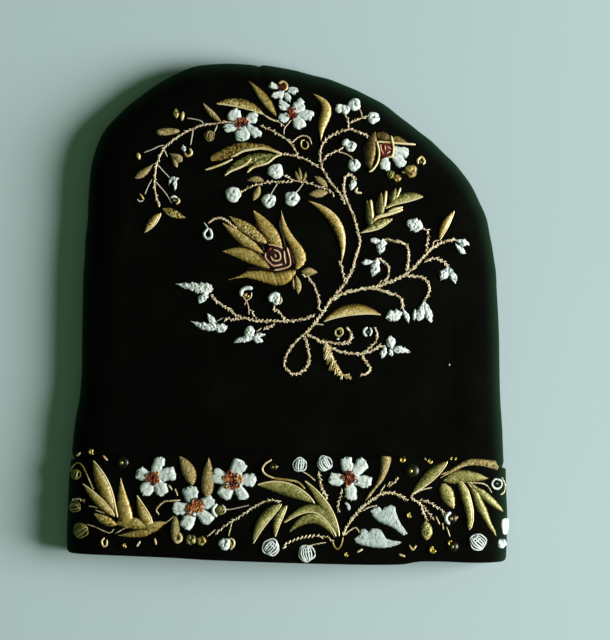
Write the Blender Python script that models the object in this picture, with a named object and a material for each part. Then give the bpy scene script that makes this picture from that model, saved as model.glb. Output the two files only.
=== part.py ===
"""Kalfak: a flat velvet cap that lies on its back panel, with padded flowers and leaves on its front.

The frame is in metres: +Z up from the surface the cap lies on, +Y towards the top of the crown.
Places on the cap are given on a flat chart in millimetres: across runs to the right from the middle
of the hem, and up runs from the hem to the top of the crown.
"""
import math
from collections import namedtuple

import bmesh
import bpy
from mathutils import Vector

MM = 0.001

# Where the chart's zero lies against the middle of the cap
CHART_MIDDLE_ACROSS = -0.31
CHART_MIDDLE_UP = 132.7

# Thickness of the cloth and of the air between the pieces
CROWN_WALL = 2.0
BAND_WALL = 1.6
GAP = 0.3
PAD_GAP = 0.4

# The cap's cross-section: a seam at half height, a front that rolls over and swells, a flat back
SEAM_HEIGHT = 9.5
FRONT_ROLL = 26.0
FRONT_RISE = 11.0
FRONT_DOME = 5.0
BACK_ROLL = 22.0
POLE_UP = 150.0

# Half widths of the cap at heights above the hem, up to the pole that the arch is drawn round
Side = namedtuple("Side", "up left right")
SIDES = [
    Side(-3.5, 120.2, 119.8),
    Side(7.0, 120.8, 120.0),
    Side(25.0, 120.5, 120.0),
    Side(40.0, 120.1, 119.1),
    Side(50.0, 119.4, 118.7),
    Side(56.0, 119.4, 118.0),
    Side(71.0, 117.6, 116.6),
    Side(84.0, 115.3, 115.3),
    Side(98.0, 114.5, 114.5),
    Side(125.0, 114.7, 113.5),
    Side(150.0, 114.7, 111.7),
]

# The arch of the crown from its right side over the top to its left side
Edge = namedtuple("Edge", "across up")
ARCH = [
    Edge(111.7, 150.0),
    Edge(108.2, 174.5),
    Edge(104.5, 189.0),
    Edge(97.3, 203.6),
    Edge(88.2, 215.5),
    Edge(66.4, 234.5),
    Edge(42.7, 250.9),
    Edge(11.8, 262.7),
    Edge(-13.6, 267.6),
    Edge(-39.0, 268.5),
    Edge(-59.0, 265.8),
    Edge(-79.0, 254.5),
    Edge(-100.0, 236.4),
    Edge(-107.3, 225.5),
    Edge(-110.9, 214.5),
    Edge(-112.7, 189.0),
    Edge(-114.0, 164.0),
    Edge(-114.7, 150.0),
]

# The wavy hem: its height across the mouth
Hem = namedtuple("Hem", "across up")
HEM = [
    Hem(-121.0, -0.9),
    Hem(-85.0, -1.4),
    Hem(-62.0, -1.8),
    Hem(-40.0, -2.6),
    Hem(24.0, -3.3),
    Hem(61.0, -2.9),
    Hem(74.0, -1.0),
    Hem(106.0, -1.3),
    Hem(121.0, -0.7),
]
HEM_CORNER = 3.0

# The band's upper edge: its height in the middle and how far it dips at the sides
BAND_TOP = 55.6
BAND_DIP = 5.2
BAND_HALF_WIDTH = 119.0

# How deep the crown lies below the cap's skin: inside the band, at the band's edge and further up
TUCK_DEPTH = BAND_WALL + GAP
LIP_DEPTH = 0.7
LIP_LENGTH = 4.0
SWELL_LENGTH = 29.0

# Rows of the crown: inside the band, round its edge and up to the pole, then by the angle round the pole
CROWN_LEVELS = [47.6, 52.1, 56.1, 58.1, 60.1, 64.6, 72.6, 85.6, 106.0, 128.0]
ARCH_STEP = 7.5
BAND_SHARES = [0.0, 0.018, 0.054, 0.35, 0.68, 1.0]

# Places from the edge to the middle: an angle round the rolled edge, then a share of the way in
Station = namedtuple("Station", "angle inward")
FRONT_STATIONS = [Station(angle, 0.0) for angle in range(0, 91, 15)]
FRONT_STATIONS += [Station(90, share) for share in (0.25, 0.55, 1.0)]
BACK_STATIONS = [Station(angle, 0.0) for angle in range(0, 91, 30)] + [Station(90, 1.0)]

# Heights of the padded embroidery
LEAF_PAD = 1.3
BLOSSOM_PAD = 1.5
BELL_PAD = 1.7

# A leaf runs from its base to its tip. Its bow is to the left of that way, its belly is where it is widest.
Leaf = namedtuple("Leaf", "name finish base tip bow width belly")
LEAVES = [
    Leaf("crown_leaf_summit", "gold", (-10.6, 239.6), (-25.9, 258.6), -0.8, 4.8, 0.45),
    Leaf("crown_leaf_high_left", "gold", (-17.4, 240.6), (-43.5, 246.1), -3.7, 5.2, 0.50),
    Leaf("crown_leaf_high_right", "gold", (13.9, 226.6), (9.2, 252.4), -4.4, 6.2, 0.42),
    Leaf("crown_leaf_crescent", "gold", (26.0, 159.5), (7.7, 194.0), -7.8, 5.8, 0.55),
    Leaf("crown_leaf_low_right", "gold", (17.2, 128.6), (48.2, 133.0), 5.6, 6.2, 0.50),
    Leaf("crown_leaf_feather", "gold", (16.5, 117.5), (29.0, 99.0), -2.5, 6.4, 0.55),
    Leaf("crown_leaf_right_tip", "gold", (79.4, 174.0), (87.2, 190.3), 2.2, 4.0, 0.50),
    Leaf("crown_leaf_end_right", "gold", (-71.6, 188.4), (-58.8, 183.6), -0.4, 4.6, 0.42),
    Leaf("crown_leaf_end_left", "gold", (-72.4, 185.9), (-81.1, 175.2), 0.0, 4.6, 0.48),
    Leaf("crown_leaf_far_left", "gold", (-77.0, 212.6), (-87.0, 204.6), 0.4, 4.2, 0.62),
    Leaf("crown_leaf_great_upper", "gold", (-8.0, 219.8), (-48.6, 209.8), -8.4, 6.6, 0.50),
    Leaf("crown_leaf_great_lower", "gold", (-8.0, 218.4), (-38.0, 206.9), -2.6, 6.6, 0.50),
    Leaf("crown_leaf_fern_upper", "gold", (49.8, 190.8), (70.0, 197.8), 2.9, 5.4, 0.58),
    Leaf("crown_leaf_fern_lower", "gold", (36.4, 177.3), (53.4, 185.3), 0.2, 4.8, 0.55),
    Leaf("tulip_petal_first", "gold", (-16.8, 173.0), (-35.4, 184.9), 0.0, 5.6, 0.42),
    Leaf("tulip_petal_second", "gold", (-17.6, 166.0), (-38.6, 181.0), 0.5, 5.0, 0.45),
    Leaf("tulip_petal_third", "gold", (-14.0, 156.9), (-38.4, 165.6), -2.6, 6.8, 0.45),
    Leaf("tulip_petal_fourth", "gold", (-5.6, 169.9), (-22.1, 188.2), 0.2, 6.6, 0.42),
    Leaf("tulip_petal_fifth", "gold", (2.8, 157.6), (-6.9, 188.3), -2.4, 7.4, 0.34),
    Leaf("tulip_cup", "gold", (1.0, 154.4), (-34.9, 150.2), 0.6, 7.6, 0.36),
    Leaf("band_leaf_outer_left", "gold", (-92.6, 19.6), (-106.6, 50.2), 0.4, 7.4, 0.55),
    Leaf("band_leaf_middle_left", "gold", (14.3, 29.6), (-16.8, 39.0), -2.7, 7.4, 0.50),
    Leaf("band_leaf_arched", "gold", (25.6, 11.4), (1.1, 13.8), -9.2, 5.8, 0.50),
    Leaf("band_leaf_tan", "gold", (-52.3, 38.2), (-59.7, 53.6), -1.3, 7.2, 0.42),
    Leaf("band_leaf_upper_right", "gold", (92.6, 46.2), (108.1, 45.0), 0.3, 6.6, 0.45),
    Leaf("band_leaf_outer_right", "gold", (101.0, 35.6), (113.6, 13.4), -1.2, 6.0, 0.48),
    Leaf("band_leaf_inner_right", "gold", (92.9, 41.4), (98.1, 16.5), 2.8, 5.2, 0.50),
    Leaf("band_petal_upper", "white", (45.8, 23.6), (65.2, 14.6), 3.2, 9.0, 0.42),
    Leaf("band_petal_lower", "white", (36.8, 10.2), (62.2, 9.8), 0.9, 9.6, 0.42),
]
LEAF_STATIONS = 8
LEAF_END_WIDTH = 0.7

# A lobed pad: its middle, its core and the angle, reach and half angle of each lobe
Lobe = namedtuple("Lobe", "angle reach spread")
Lobed = namedtuple("Lobed", "name finish middle core sides lobes")
BLOSSOMS = [
    Lobed("crown_blossom_left", "white", (-29.0, 235.4), 5.0, 30,
          [Lobe(37, 8.3, 36), Lobe(120, 8.4, 36), Lobe(193, 9.4, 32), Lobe(266, 8.6, 34), Lobe(328, 9.8, 30)]),
    Lobed("crown_blossom_top", "white", (-2.0, 241.8), 4.6, 30,
          [Lobe(52, 7.2, 38), Lobe(140, 9.2, 34), Lobe(207, 7.3, 36), Lobe(300, 8.6, 34), Lobe(352, 11.0, 26)]),
    Lobed("crown_blossom_square", "red", (49.4, 222.6), 6.0, 32,
          [Lobe(13, 14.6, 12), Lobe(69, 8.6, 30), Lobe(120, 9.6, 28), Lobe(240, 10.6, 20),
           Lobe(277, 10.6, 24), Lobe(321, 11.6, 22), Lobe(352, 11.4, 20)]),
    Lobed("tulip_heart", "red", (-8.9, 162.6), 5.6, 16,
          [Lobe(0, 6.6, 40), Lobe(47, 7.8, 34), Lobe(135, 7.0, 36), Lobe(315, 7.8, 30)]),
    Lobed("band_blossom_first", "white", (-73.3, 42.1), 5.0, 30,
          [Lobe(72, 10.7, 34), Lobe(11, 11.2, 34), Lobe(301, 10.5, 32), Lobe(239, 10.9, 33), Lobe(167, 9.2, 36)]),
    Lobed("band_blossom_second", "white", (-30.1, 41.3), 5.4, 30,
          [Lobe(69, 11.2, 36), Lobe(1, 11.6, 35), Lobe(300, 11.6, 24), Lobe(237, 10.6, 33), Lobe(165, 10.8, 36)]),
    Lobed("band_blossom_third", "white", (-50.5, 26.3), 5.6, 30,
          [Lobe(108, 11.0, 34), Lobe(22, 10.4, 36), Lobe(315, 11.2, 32), Lobe(245, 12.6, 30), Lobe(185, 11.6, 32)]),
    Lobed("band_blossom_fourth", "white", (33.0, 43.6), 5.2, 30,
          [Lobe(100, 11.2, 28), Lobe(47, 12.6, 30), Lobe(348, 11.6, 34), Lobe(276, 11.4, 28), Lobe(184, 10.8, 34)]),
]
BELLS = [
    Lobed("bell_far_left", "white", (-48.5, 144.2), 2.9, 14,
          [Lobe(168, 14.4, 24), Lobe(258, 6.9, 34), Lobe(15, 6.2, 44), Lobe(90, 3.9, 50)]),
    Lobed("bell_low_left", "white", (-41.0, 125.2), 2.4, 14,
          [Lobe(172, 13.0, 22), Lobe(125, 7.3, 26), Lobe(350, 5.2, 60)]),
    Lobed("bell_near_loop", "white", (-22.5, 119.5), 3.4, 14,
          [Lobe(197, 8.1, 30), Lobe(95, 5.6, 46), Lobe(5, 7.2, 40)]),
    Lobed("bell_right_first", "white", (58.0, 132.8), 3.2, 14,
          [Lobe(190, 6.0, 44), Lobe(70, 3.9, 44), Lobe(320, 5.2, 30)]),
    Lobed("bell_right_second", "white", (72.0, 134.6), 3.2, 14,
          [Lobe(92, 6.8, 34), Lobe(222, 6.0, 34), Lobe(308, 5.9, 34)]),
    Lobed("bell_right_third", "white", (54.0, 114.6), 3.4, 14,
          [Lobe(190, 6.4, 40), Lobe(100, 6.6, 34), Lobe(352, 10.0, 26), Lobe(235, 5.6, 36)]),
    Lobed("bell_right_fourth", "white", (66.6, 181.6), 3.4, 12,
          [Lobe(163, 4.8, 40), Lobe(75, 4.2, 40), Lobe(315, 4.5, 44)]),
    Lobed("bell_right_fifth", "white", (47.4, 171.4), 2.8, 12,
          [Lobe(155, 6.2, 34), Lobe(35, 4.4, 40), Lobe(265, 5.0, 40)]),
    Lobed("bell_right_sixth", "white", (43.6, 159.8), 2.8, 12,
          [Lobe(168, 6.2, 30), Lobe(50, 4.6, 40), Lobe(266, 6.0, 34)]),
    Lobed("bell_right_seventh", "white", (85.4, 155.6), 2.8, 14,
          [Lobe(100, 4.6, 40), Lobe(208, 5.9, 40), Lobe(316, 5.8, 30)]),
    Lobed("berry_row_first", "white", (-33.2, 196.8), 3.9, 12, []),
    Lobed("berry_row_second", "white", (-13.6, 193.6), 3.1, 12, [Lobe(200, 4.2, 40)]),
    Lobed("berry_row_third", "white", (-1.2, 194.9), 3.7, 12, []),
    Lobed("berry_row_fourth", "white", (-10.4, 209.8), 3.7, 12, []),
    Lobed("band_ball_first", "white", (-8.9, 5.3), 4.6, 14, []),
    Lobed("band_ball_second", "white", (10.7, 2.4), 4.6, 14, []),
    Lobed("band_ball_third", "white", (103.8, 10.2), 4.6, 14, []),
]

# Colours of the materials, linear red, green and blue, with roughness and metallic
Finish = namedtuple("Finish", "colour roughness metallic")
FINISHES = {
    "velvet": Finish((0.006, 0.008, 0.005), 0.95, 0.0),
    "gold": Finish((0.42, 0.32, 0.10), 0.45, 0.5),
    "white": Finish((0.72, 0.76, 0.70), 0.50, 0.0),
    "red": Finish((0.10, 0.02, 0.02), 0.60, 0.0),
}


def smooth(rows, place):
    """Reads a smooth curve through rows of (place, value), which rise by place."""
    last = len(rows) - 2
    index = 0
    while index < last and place > rows[index + 1][0]:
        index += 1
    (x0, y0), (x1, y1) = rows[index], rows[index + 1]
    before = rows[max(index - 1, 0)]
    after = rows[min(index + 2, last + 1)]
    slope0 = (y1 - before[1]) / (x1 - before[0])
    slope1 = (after[1] - y0) / (after[0] - x0)
    width = x1 - x0
    t = min(max((place - x0) / width, 0.0), 1.0)
    return ((2 * t**3 - 3 * t**2 + 1) * y0 + (t**3 - 2 * t**2 + t) * width * slope0
            + (3 * t**2 - 2 * t**3) * y1 + (t**3 - t**2) * width * slope1)


def ease(share):
    """Rises smoothly from 0 to 1."""
    share = min(max(share, 0.0), 1.0)
    return share * share * (3 - 2 * share)


LEFT_SIDE = [(row.up, row.left) for row in SIDES]
RIGHT_SIDE = [(row.up, row.right) for row in SIDES]
ARCH_REACH = [(math.atan2(row.up - POLE_UP, row.across), math.hypot(row.across, row.up - POLE_UP)) for row in ARCH]


def side_reach(side, up):
    return smooth(RIGHT_SIDE if side > 0 else LEFT_SIDE, up)


def hem_up(across):
    return smooth(HEM, across)


def band_edge_up(across):
    return BAND_TOP - BAND_DIP * min(abs(across) / BAND_HALF_WIDTH, 1.0) ** 3


def crown_depth(across, up):
    """How far the crown's velvet lies below the cap's skin: most inside the band, nothing well above it."""
    above = up - band_edge_up(across)
    lip = ease(above / LIP_LENGTH)
    return TUCK_DEPTH * (1 - lip) + LIP_DEPTH * lip * (1 - ease(above / SWELL_LENGTH))


def front_height(across, up):
    """Height of the front's surface over a place on the chart."""
    if up < POLE_UP:
        reach = side_reach(1 if across > 0 else -1, up)
        out = abs(across)
    else:
        reach = smooth(ARCH_REACH, math.atan2(up - POLE_UP, across))
        out = math.hypot(across, up - POLE_UP)
    from_edge = max(reach - out, 0.0)
    turn = math.acos(max(1 - from_edge / FRONT_ROLL, 0.0))
    inward = max((from_edge - FRONT_ROLL) / (reach - FRONT_ROLL), 0.0)
    height = SEAM_HEIGHT + FRONT_RISE * math.sin(turn) + FRONT_DOME * (1 - (1 - inward) ** 2)
    if up > band_edge_up(across):
        height -= crown_depth(across, up)
    return height


def to_world(across, up, height):
    return Vector((across - CHART_MIDDLE_ACROSS, up - CHART_MIDDLE_UP, height)) * MM


class Column:
    """A line on the chart from the edge of the cap to its spine."""

    def __init__(self, name, reach, direction, root_up, up_at=None):
        self.name = name
        self.reach = reach
        self.direction = direction
        self.root_up = root_up
        self.up_at = up_at

    def point(self, station, face, depth_at, seam_gap=0.0):
        """A point of the skin: face is 1 for the front and -1 for the back."""
        turn = math.radians(station.angle)
        roll = FRONT_ROLL if face > 0 else BACK_ROLL
        rise = (FRONT_RISE if face > 0 else SEAM_HEIGHT) - seam_gap / 2
        dome = FRONT_DOME if face > 0 else 0.0
        out = (self.reach - roll * (1 - math.cos(turn))) - (self.reach - roll) * station.inward
        across = self.direction[0] * out
        up = self.up_at(across) if self.up_at else self.root_up + self.direction[1] * out
        height = SEAM_HEIGHT + face * (seam_gap / 2 + rise * math.sin(turn))
        height += dome * (1 - (1 - station.inward) ** 2)
        flat = rise * math.cos(turn)
        steep = roll * math.sin(turn)
        size = math.hypot(flat, steep)
        depth = depth_at(across, up)
        across -= depth * self.direction[0] * flat / size
        up -= depth * self.direction[1] * flat / size
        height -= depth * face * steep / size
        return to_world(across, up, height)

    def key(self, index, stations):
        """Names a place so that places on the spine are shared between the two sides."""
        if stations[index].inward == 1.0:
            return ("spine", self.root_up)
        return (self.name, index)


def crown_columns():
    """Columns from the right of the band's edge over the arch to the left."""
    def side_column(side, level):
        fade = min((POLE_UP - level) / (POLE_UP - BAND_TOP), 1.0)

        def up_at(across):
            return level + fade * (band_edge_up(across) - BAND_TOP)

        reach = side_reach(side, up_at(side * BAND_HALF_WIDTH))
        return Column((side, level), reach, (side, 0.0), level, up_at)

    columns = [side_column(1, level) for level in CROWN_LEVELS]
    for step in range(int(180 / ARCH_STEP) + 1):
        angle = math.radians(step * ARCH_STEP)
        reach = smooth(ARCH_REACH, angle)
        columns.append(Column(("arch", step), reach, (math.cos(angle), math.sin(angle)), POLE_UP))
    columns += [side_column(-1, level) for level in reversed(CROWN_LEVELS)]
    return columns


def cloth_sheet(faces, outer, inner):
    """A closed sheet of cloth: faces are rings of keys, outer and inner give each key's two points."""
    bm = bmesh.new()
    top = {key: bm.verts.new(point) for key, point in outer.items()}
    under = {key: bm.verts.new(point) for key, point in inner.items()}
    edges = set()
    for ring in faces:
        ring = [key for index, key in enumerate(ring) if key != ring[index - 1]]
        bm.faces.new([top[key] for key in ring])
        bm.faces.new([under[key] for key in reversed(ring)])
        edges.update((ring[index - 1], key) for index, key in enumerate(ring))
    for start, end in edges:
        if (end, start) not in edges:
            bm.faces.new([top[end], top[start], under[start], under[end]])
    return bm


def crown_panel(face):
    """One velvet panel of the crown, from the seam at the edge to the spine."""
    stations = FRONT_STATIONS if face > 0 else BACK_STATIONS
    columns = crown_columns()
    outer, inner, faces = {}, {}, []

    def inner_depth(across, up):
        return crown_depth(across, up) + CROWN_WALL

    for column in columns:
        for index, station in enumerate(stations):
            key = column.key(index, stations)
            outer.setdefault(key, column.point(station, face, crown_depth, GAP))
            inner.setdefault(key, column.point(station, face, inner_depth, GAP))
    for first, second in zip(columns, columns[1:]):
        for index in range(len(stations) - 1):
            faces.append([first.key(index, stations), second.key(index, stations),
                          second.key(index + 1, stations), first.key(index + 1, stations)])
    return cloth_sheet(faces, outer, inner)


def band_ring():
    """The band: a ring strip round the mouth, from the wavy hem to its upper edge."""
    halves = [(1, 1, FRONT_STATIONS[:-1]), (-1, 1, FRONT_STATIONS[::-1]),
              (-1, -1, BACK_STATIONS[1:-1]), (1, -1, BACK_STATIONS[:0:-1])]
    around = [(side, face, station) for side, face, stations in halves for station in stations]
    outer, inner, faces = {}, {}, []
    for row, share in enumerate(BAND_SHARES):
        def up_at(across, share=share):
            return hem_up(across) * (1 - share) + band_edge_up(across) * share

        above_hem = share * (BAND_TOP - HEM[0].up)
        corner = HEM_CORNER - math.sqrt(max(HEM_CORNER**2 - max(HEM_CORNER - above_hem, 0.0) ** 2, 0.0))
        for place, (side, face, station) in enumerate(around):
            reach = side_reach(side, up_at(side * BAND_HALF_WIDTH)) - corner
            column = Column(side, reach, (side, 0.0), 0.0, up_at)
            outer[(place, row)] = column.point(station, face, lambda across, up: 0.0)
            inner[(place, row)] = column.point(station, face, lambda across, up: BAND_WALL)
    for row in range(len(BAND_SHARES) - 1):
        for place in range(len(around)):
            beside = (place + 1) % len(around)
            faces.append([(place, row), (place, row + 1), (beside, row + 1), (beside, row)])
    return cloth_sheet(faces, outer, inner)


def seat(across, up, lift=0.0):
    """A point that rests just above the front's velvet."""
    return to_world(across, up, front_height(across, up) + PAD_GAP + lift)


def leaf_pad(leaf):
    """A padded leaf: a ridge along its midrib, falling to its edges."""
    bm = bmesh.new()
    base, tip = Vector(leaf.base), Vector(leaf.tip)
    way = tip - base
    left = Vector((-way.y, way.x)).normalized()
    power = math.log(0.5) / math.log(leaf.belly)
    rings = []
    for index in range(LEAF_STATIONS):
        share = index / (LEAF_STATIONS - 1)
        middle = base + way * share + left * leaf.bow * 4 * share * (1 - share)
        tangent = (way + left * leaf.bow * 4 * (1 - 2 * share)).normalized()
        normal = Vector((-tangent.y, tangent.x))
        half = max(leaf.width * math.sin(math.pi * share**power), LEAF_END_WIDTH) / 2
        lift = LEAF_PAD * (0.45 + 0.55 * 2 * half / leaf.width)
        profile = [(-half, 0.0), (-half, 0.5 * lift), (0.0, lift), (half, 0.5 * lift), (half, 0.0)]
        rings.append([bm.verts.new(seat(*(middle + normal * offset), height)) for offset, height in profile])
    for first, second in zip(rings, rings[1:]):
        for index in range(len(first)):
            bm.faces.new([first[index - 1], first[index], second[index], second[index - 1]])
    bm.faces.new(rings[0])
    bm.faces.new(rings[-1])
    return bm


def lobed_pad(pad, height):
    """A padded blossom, bell or berry: a rim that follows its lobes and a raised top."""
    bm = bmesh.new()
    across, up = pad.middle
    rings = [[], [], []]
    for index in range(pad.sides):
        angle = 360 * index / pad.sides
        reach = pad.core
        for lobe in pad.lobes:
            off = abs((angle - lobe.angle + 180) % 360 - 180) / lobe.spread
            reach = max(reach, lobe.reach * (1 - 0.45 * off**3)) if off < 1 else reach
        turn = math.radians(angle)
        for ring, share, lift in zip(rings, (1.0, 1.0, 0.66), (0.0, 0.45, 1.0)):
            out = reach * share
            point = seat(across + out * math.cos(turn), up + out * math.sin(turn), height * lift)
            ring.append(bm.verts.new(point))
    bottom = bm.verts.new(seat(across, up))
    top = bm.verts.new(seat(across, up, height))
    for index in range(pad.sides):
        for lower, upper in zip(rings, rings[1:]):
            bm.faces.new([lower[index - 1], lower[index], upper[index], upper[index - 1]])
        bm.faces.new([rings[0][index], rings[0][index - 1], bottom])
        bm.faces.new([rings[2][index - 1], rings[2][index], top])
    return bm


def make_material(name):
    finish = FINISHES[name]
    material = bpy.data.materials.new(name)
    material.use_nodes = True
    shader = material.node_tree.nodes["Principled BSDF"]
    shader.inputs["Base Color"].default_value = (*finish.colour, 1.0)
    shader.inputs["Roughness"].default_value = finish.roughness
    shader.inputs["Metallic"].default_value = finish.metallic
    material.diffuse_color = (*finish.colour, 1.0)
    return material


def make_object(name, bm, material, parent):
    """Turns a mesh into a named object whose origin is in the middle of its points."""
    bmesh.ops.recalc_face_normals(bm, faces=bm.faces)
    middle = sum((vert.co for vert in bm.verts), Vector()) / len(bm.verts)
    bmesh.ops.translate(bm, verts=bm.verts, vec=-middle)
    mesh = bpy.data.meshes.new(name)
    bm.to_mesh(mesh)
    bm.free()
    mesh.shade_smooth()
    mesh.set_sharp_from_angle(angle=math.radians(40))
    mesh.materials.append(material)
    item = bpy.data.objects.new(name, mesh)
    item.location = middle
    item.parent = parent
    bpy.context.collection.objects.link(item)
    return item


def build():
    for item in list(bpy.data.objects):
        bpy.data.objects.remove(item, do_unlink=True)
    cap = bpy.data.objects.new("kalfak", None)
    bpy.context.collection.objects.link(cap)
    materials = {name: make_material(name) for name in FINISHES}
    make_object("crown_front", crown_panel(1), materials["velvet"], cap)
    make_object("crown_back", crown_panel(-1), materials["velvet"], cap)
    make_object("band", band_ring(), materials["velvet"], cap)
    for leaf in LEAVES:
        make_object(leaf.name, leaf_pad(leaf), materials[leaf.finish], cap)
    for pad in BLOSSOMS:
        make_object(pad.name, lobed_pad(pad, BLOSSOM_PAD), materials[pad.finish], cap)
    for pad in BELLS:
        make_object(pad.name, lobed_pad(pad, BELL_PAD), materials[pad.finish], cap)


build()
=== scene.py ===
"""Kalfak: a flat velvet cap, embroidered with gilt thread and white silk, lying on a pale table.

Places on the cap are read off a flat chart in millimetres: across runs to the right from the middle of
the hem, and up runs from the hem to the top of the crown. Everything else is in metres.
"""

import math
import random
from collections import namedtuple

import bpy
import numpy as np
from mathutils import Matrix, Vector


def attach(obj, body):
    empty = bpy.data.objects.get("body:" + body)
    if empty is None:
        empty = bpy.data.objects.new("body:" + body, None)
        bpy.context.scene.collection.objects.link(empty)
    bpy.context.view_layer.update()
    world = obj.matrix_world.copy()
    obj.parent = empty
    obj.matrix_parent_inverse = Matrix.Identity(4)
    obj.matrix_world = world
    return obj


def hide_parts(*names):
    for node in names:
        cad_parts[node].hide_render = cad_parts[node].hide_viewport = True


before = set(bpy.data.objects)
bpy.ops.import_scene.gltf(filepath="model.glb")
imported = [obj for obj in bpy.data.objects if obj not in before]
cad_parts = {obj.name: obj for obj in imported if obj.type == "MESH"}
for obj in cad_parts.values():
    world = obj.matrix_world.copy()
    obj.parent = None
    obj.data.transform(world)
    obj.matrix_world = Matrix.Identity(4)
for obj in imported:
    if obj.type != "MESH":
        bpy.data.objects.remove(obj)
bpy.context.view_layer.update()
random.seed(1887)
MM = 0.001
TINY = 1e-9

# The shape of the cap, in millimetres

CHART_MIDDLE_ACROSS = -0.31
CHART_MIDDLE_UP = 132.7
CROWN_WALL = 2.0
BAND_WALL = 1.6
GAP = 0.3
SEAM_HEIGHT = 9.5
FRONT_ROLL = 26.0
FRONT_RISE = 11.0
FRONT_DOME = 5.0
BACK_ROLL = 22.0
POLE_UP = 150.0
HEM_CORNER = 3.0
BAND_TOP = 55.6
BAND_DIP = 5.2
BAND_HALF_WIDTH = 119.0
TUCK_DEPTH = BAND_WALL + GAP
LIP_DEPTH = 0.7
LIP_LENGTH = 4.0
SWELL_LENGTH = 29.0

# Half widths of the cap at heights above the hem
Side = namedtuple("Side", "up left right")
SIDES = [Side(*row) for row in (
    (-3.5, 120.2, 119.8), (7, 120.8, 120), (25, 120.5, 120), (40, 120.1, 119.1), (50, 119.4, 118.7),
    (56, 119.4, 118), (71, 117.6, 116.6), (84, 115.3, 115.3), (98, 114.5, 114.5), (125, 114.7, 113.5),
    (150, 114.7, 111.7),
)]

# The arch of the crown from its right side over the top to its left side
Edge = namedtuple("Edge", "across up")
ARCH = [Edge(*row) for row in (
    (111.7, 150), (108.2, 174.5), (104.5, 189), (97.3, 203.6), (88.2, 215.5), (66.4, 234.5), (42.7, 250.9),
    (11.8, 262.7), (-13.6, 267.6), (-39, 268.5), (-59, 265.8), (-79, 254.5), (-100, 236.4), (-107.3, 225.5),
    (-110.9, 214.5), (-112.7, 189), (-114, 164), (-114.7, 150),
)]

# The wavy hem
HEM = [
    (-121, -0.9), (-85, -1.4), (-62, -1.8), (-40, -2.6), (24, -3.3), (61, -2.9), (74, -1), (106, -1.3),
    (121, -0.7),
]

# Soft hollows and swellings of the velvet: where, how wide and how high
Dent = namedtuple("Dent", "across up wide tall height")
DENTS = [Dent(*row) for row in (
    (-70, 110, 34, 20, -0.7), (60, 95, 40, 16, 0.5), (0, 88, 60, 12, -0.5), (-95, 160, 16, 40, 0.4),
    (90, 150, 14, 34, -0.5), (-60, 245, 26, 12, -0.4), (40, 205, 22, 30, 0.4), (-20, 185, 36, 24, 0.5),
    (100, 78, 12, 18, 0.5),
)]


def smooth(rows, place):
    """Reads a smooth curve through rows of (place, value), which rise by place."""
    xs, ys = np.array(rows, dtype=float).T
    slopes = np.empty(len(xs))
    slopes[1:-1] = (ys[2:] - ys[:-2]) / (xs[2:] - xs[:-2])
    slopes[0] = (ys[1] - ys[0]) / (xs[1] - xs[0])
    slopes[-1] = (ys[-1] - ys[-2]) / (xs[-1] - xs[-2])
    index = np.clip(np.searchsorted(xs, place) - 1, 0, len(xs) - 2)
    width = xs[index + 1] - xs[index]
    t = np.clip((place - xs[index]) / width, 0, 1)
    return ((2 * t**3 - 3 * t**2 + 1) * ys[index] + (t**3 - 2 * t**2 + t) * width * slopes[index]
            + (3 * t**2 - 2 * t**3) * ys[index + 1] + (t**3 - t**2) * width * slopes[index + 1])


def ease(share):
    share = np.clip(share, 0, 1)
    return share * share * (3 - 2 * share)


LEFT_SIDE = [(row.up, row.left) for row in SIDES]
RIGHT_SIDE = [(row.up, row.right) for row in SIDES]
ARCH_REACH = [(math.atan2(row.up - POLE_UP, row.across), math.hypot(row.across, row.up - POLE_UP))
              for row in ARCH]
# The little nick in the top edge: where it is, how deep it is, and how wide as an angle
NICK_ACROSS, NICK_UP, NICK_DEPTH, NICK_WIDTH = -21.5, 266.9, 1.1, 0.012


def arch_reach(angle):
    """How far the crown's arch is from its pole, with a slight waver and the nick."""
    nick_angle = math.atan2(NICK_UP - POLE_UP, NICK_ACROSS)
    nick = NICK_DEPTH * np.exp(-((angle - nick_angle) / NICK_WIDTH) ** 2)
    waver = 0.16 * np.sin(23 * angle + 1) + 0.1 * np.sin(41 * angle)
    return smooth(ARCH_REACH, angle) + waver * ease(np.minimum(angle, math.pi - angle) / 0.2) - nick


def side_reach(side, up):
    return smooth(RIGHT_SIDE if side > 0 else LEFT_SIDE, up)


def hem_up(across):
    return smooth(HEM, across)


def band_edge_up(across):
    return BAND_TOP - BAND_DIP * np.minimum(np.abs(across) / BAND_HALF_WIDTH, 1) ** 3


def crown_depth(across, up):
    """How far the crown's velvet lies below the cap's skin."""
    above = up - band_edge_up(across)
    lip = ease(above / LIP_LENGTH)
    return TUCK_DEPTH * (1 - lip) + LIP_DEPTH * lip * (1 - ease(above / SWELL_LENGTH))


RIPPLE_HEIGHT = 0.12
SLACK_FROM, SLACK_FADE = 62, 14  # the cloth is slack above the band, fully so after the fade


def slack(across, up):
    """The soft unevenness of cloth that lies over nothing."""
    height = RIPPLE_HEIGHT * np.sin(across / 9 + up / 17) * np.sin(up / 11 - across / 23)
    for dent in DENTS:
        away = ((across - dent.across) / dent.wide) ** 2 + ((up - dent.up) / dent.tall) ** 2
        height += dent.height * np.exp(-away)
    return height * ease((up - SLACK_FROM) / SLACK_FADE)


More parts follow.
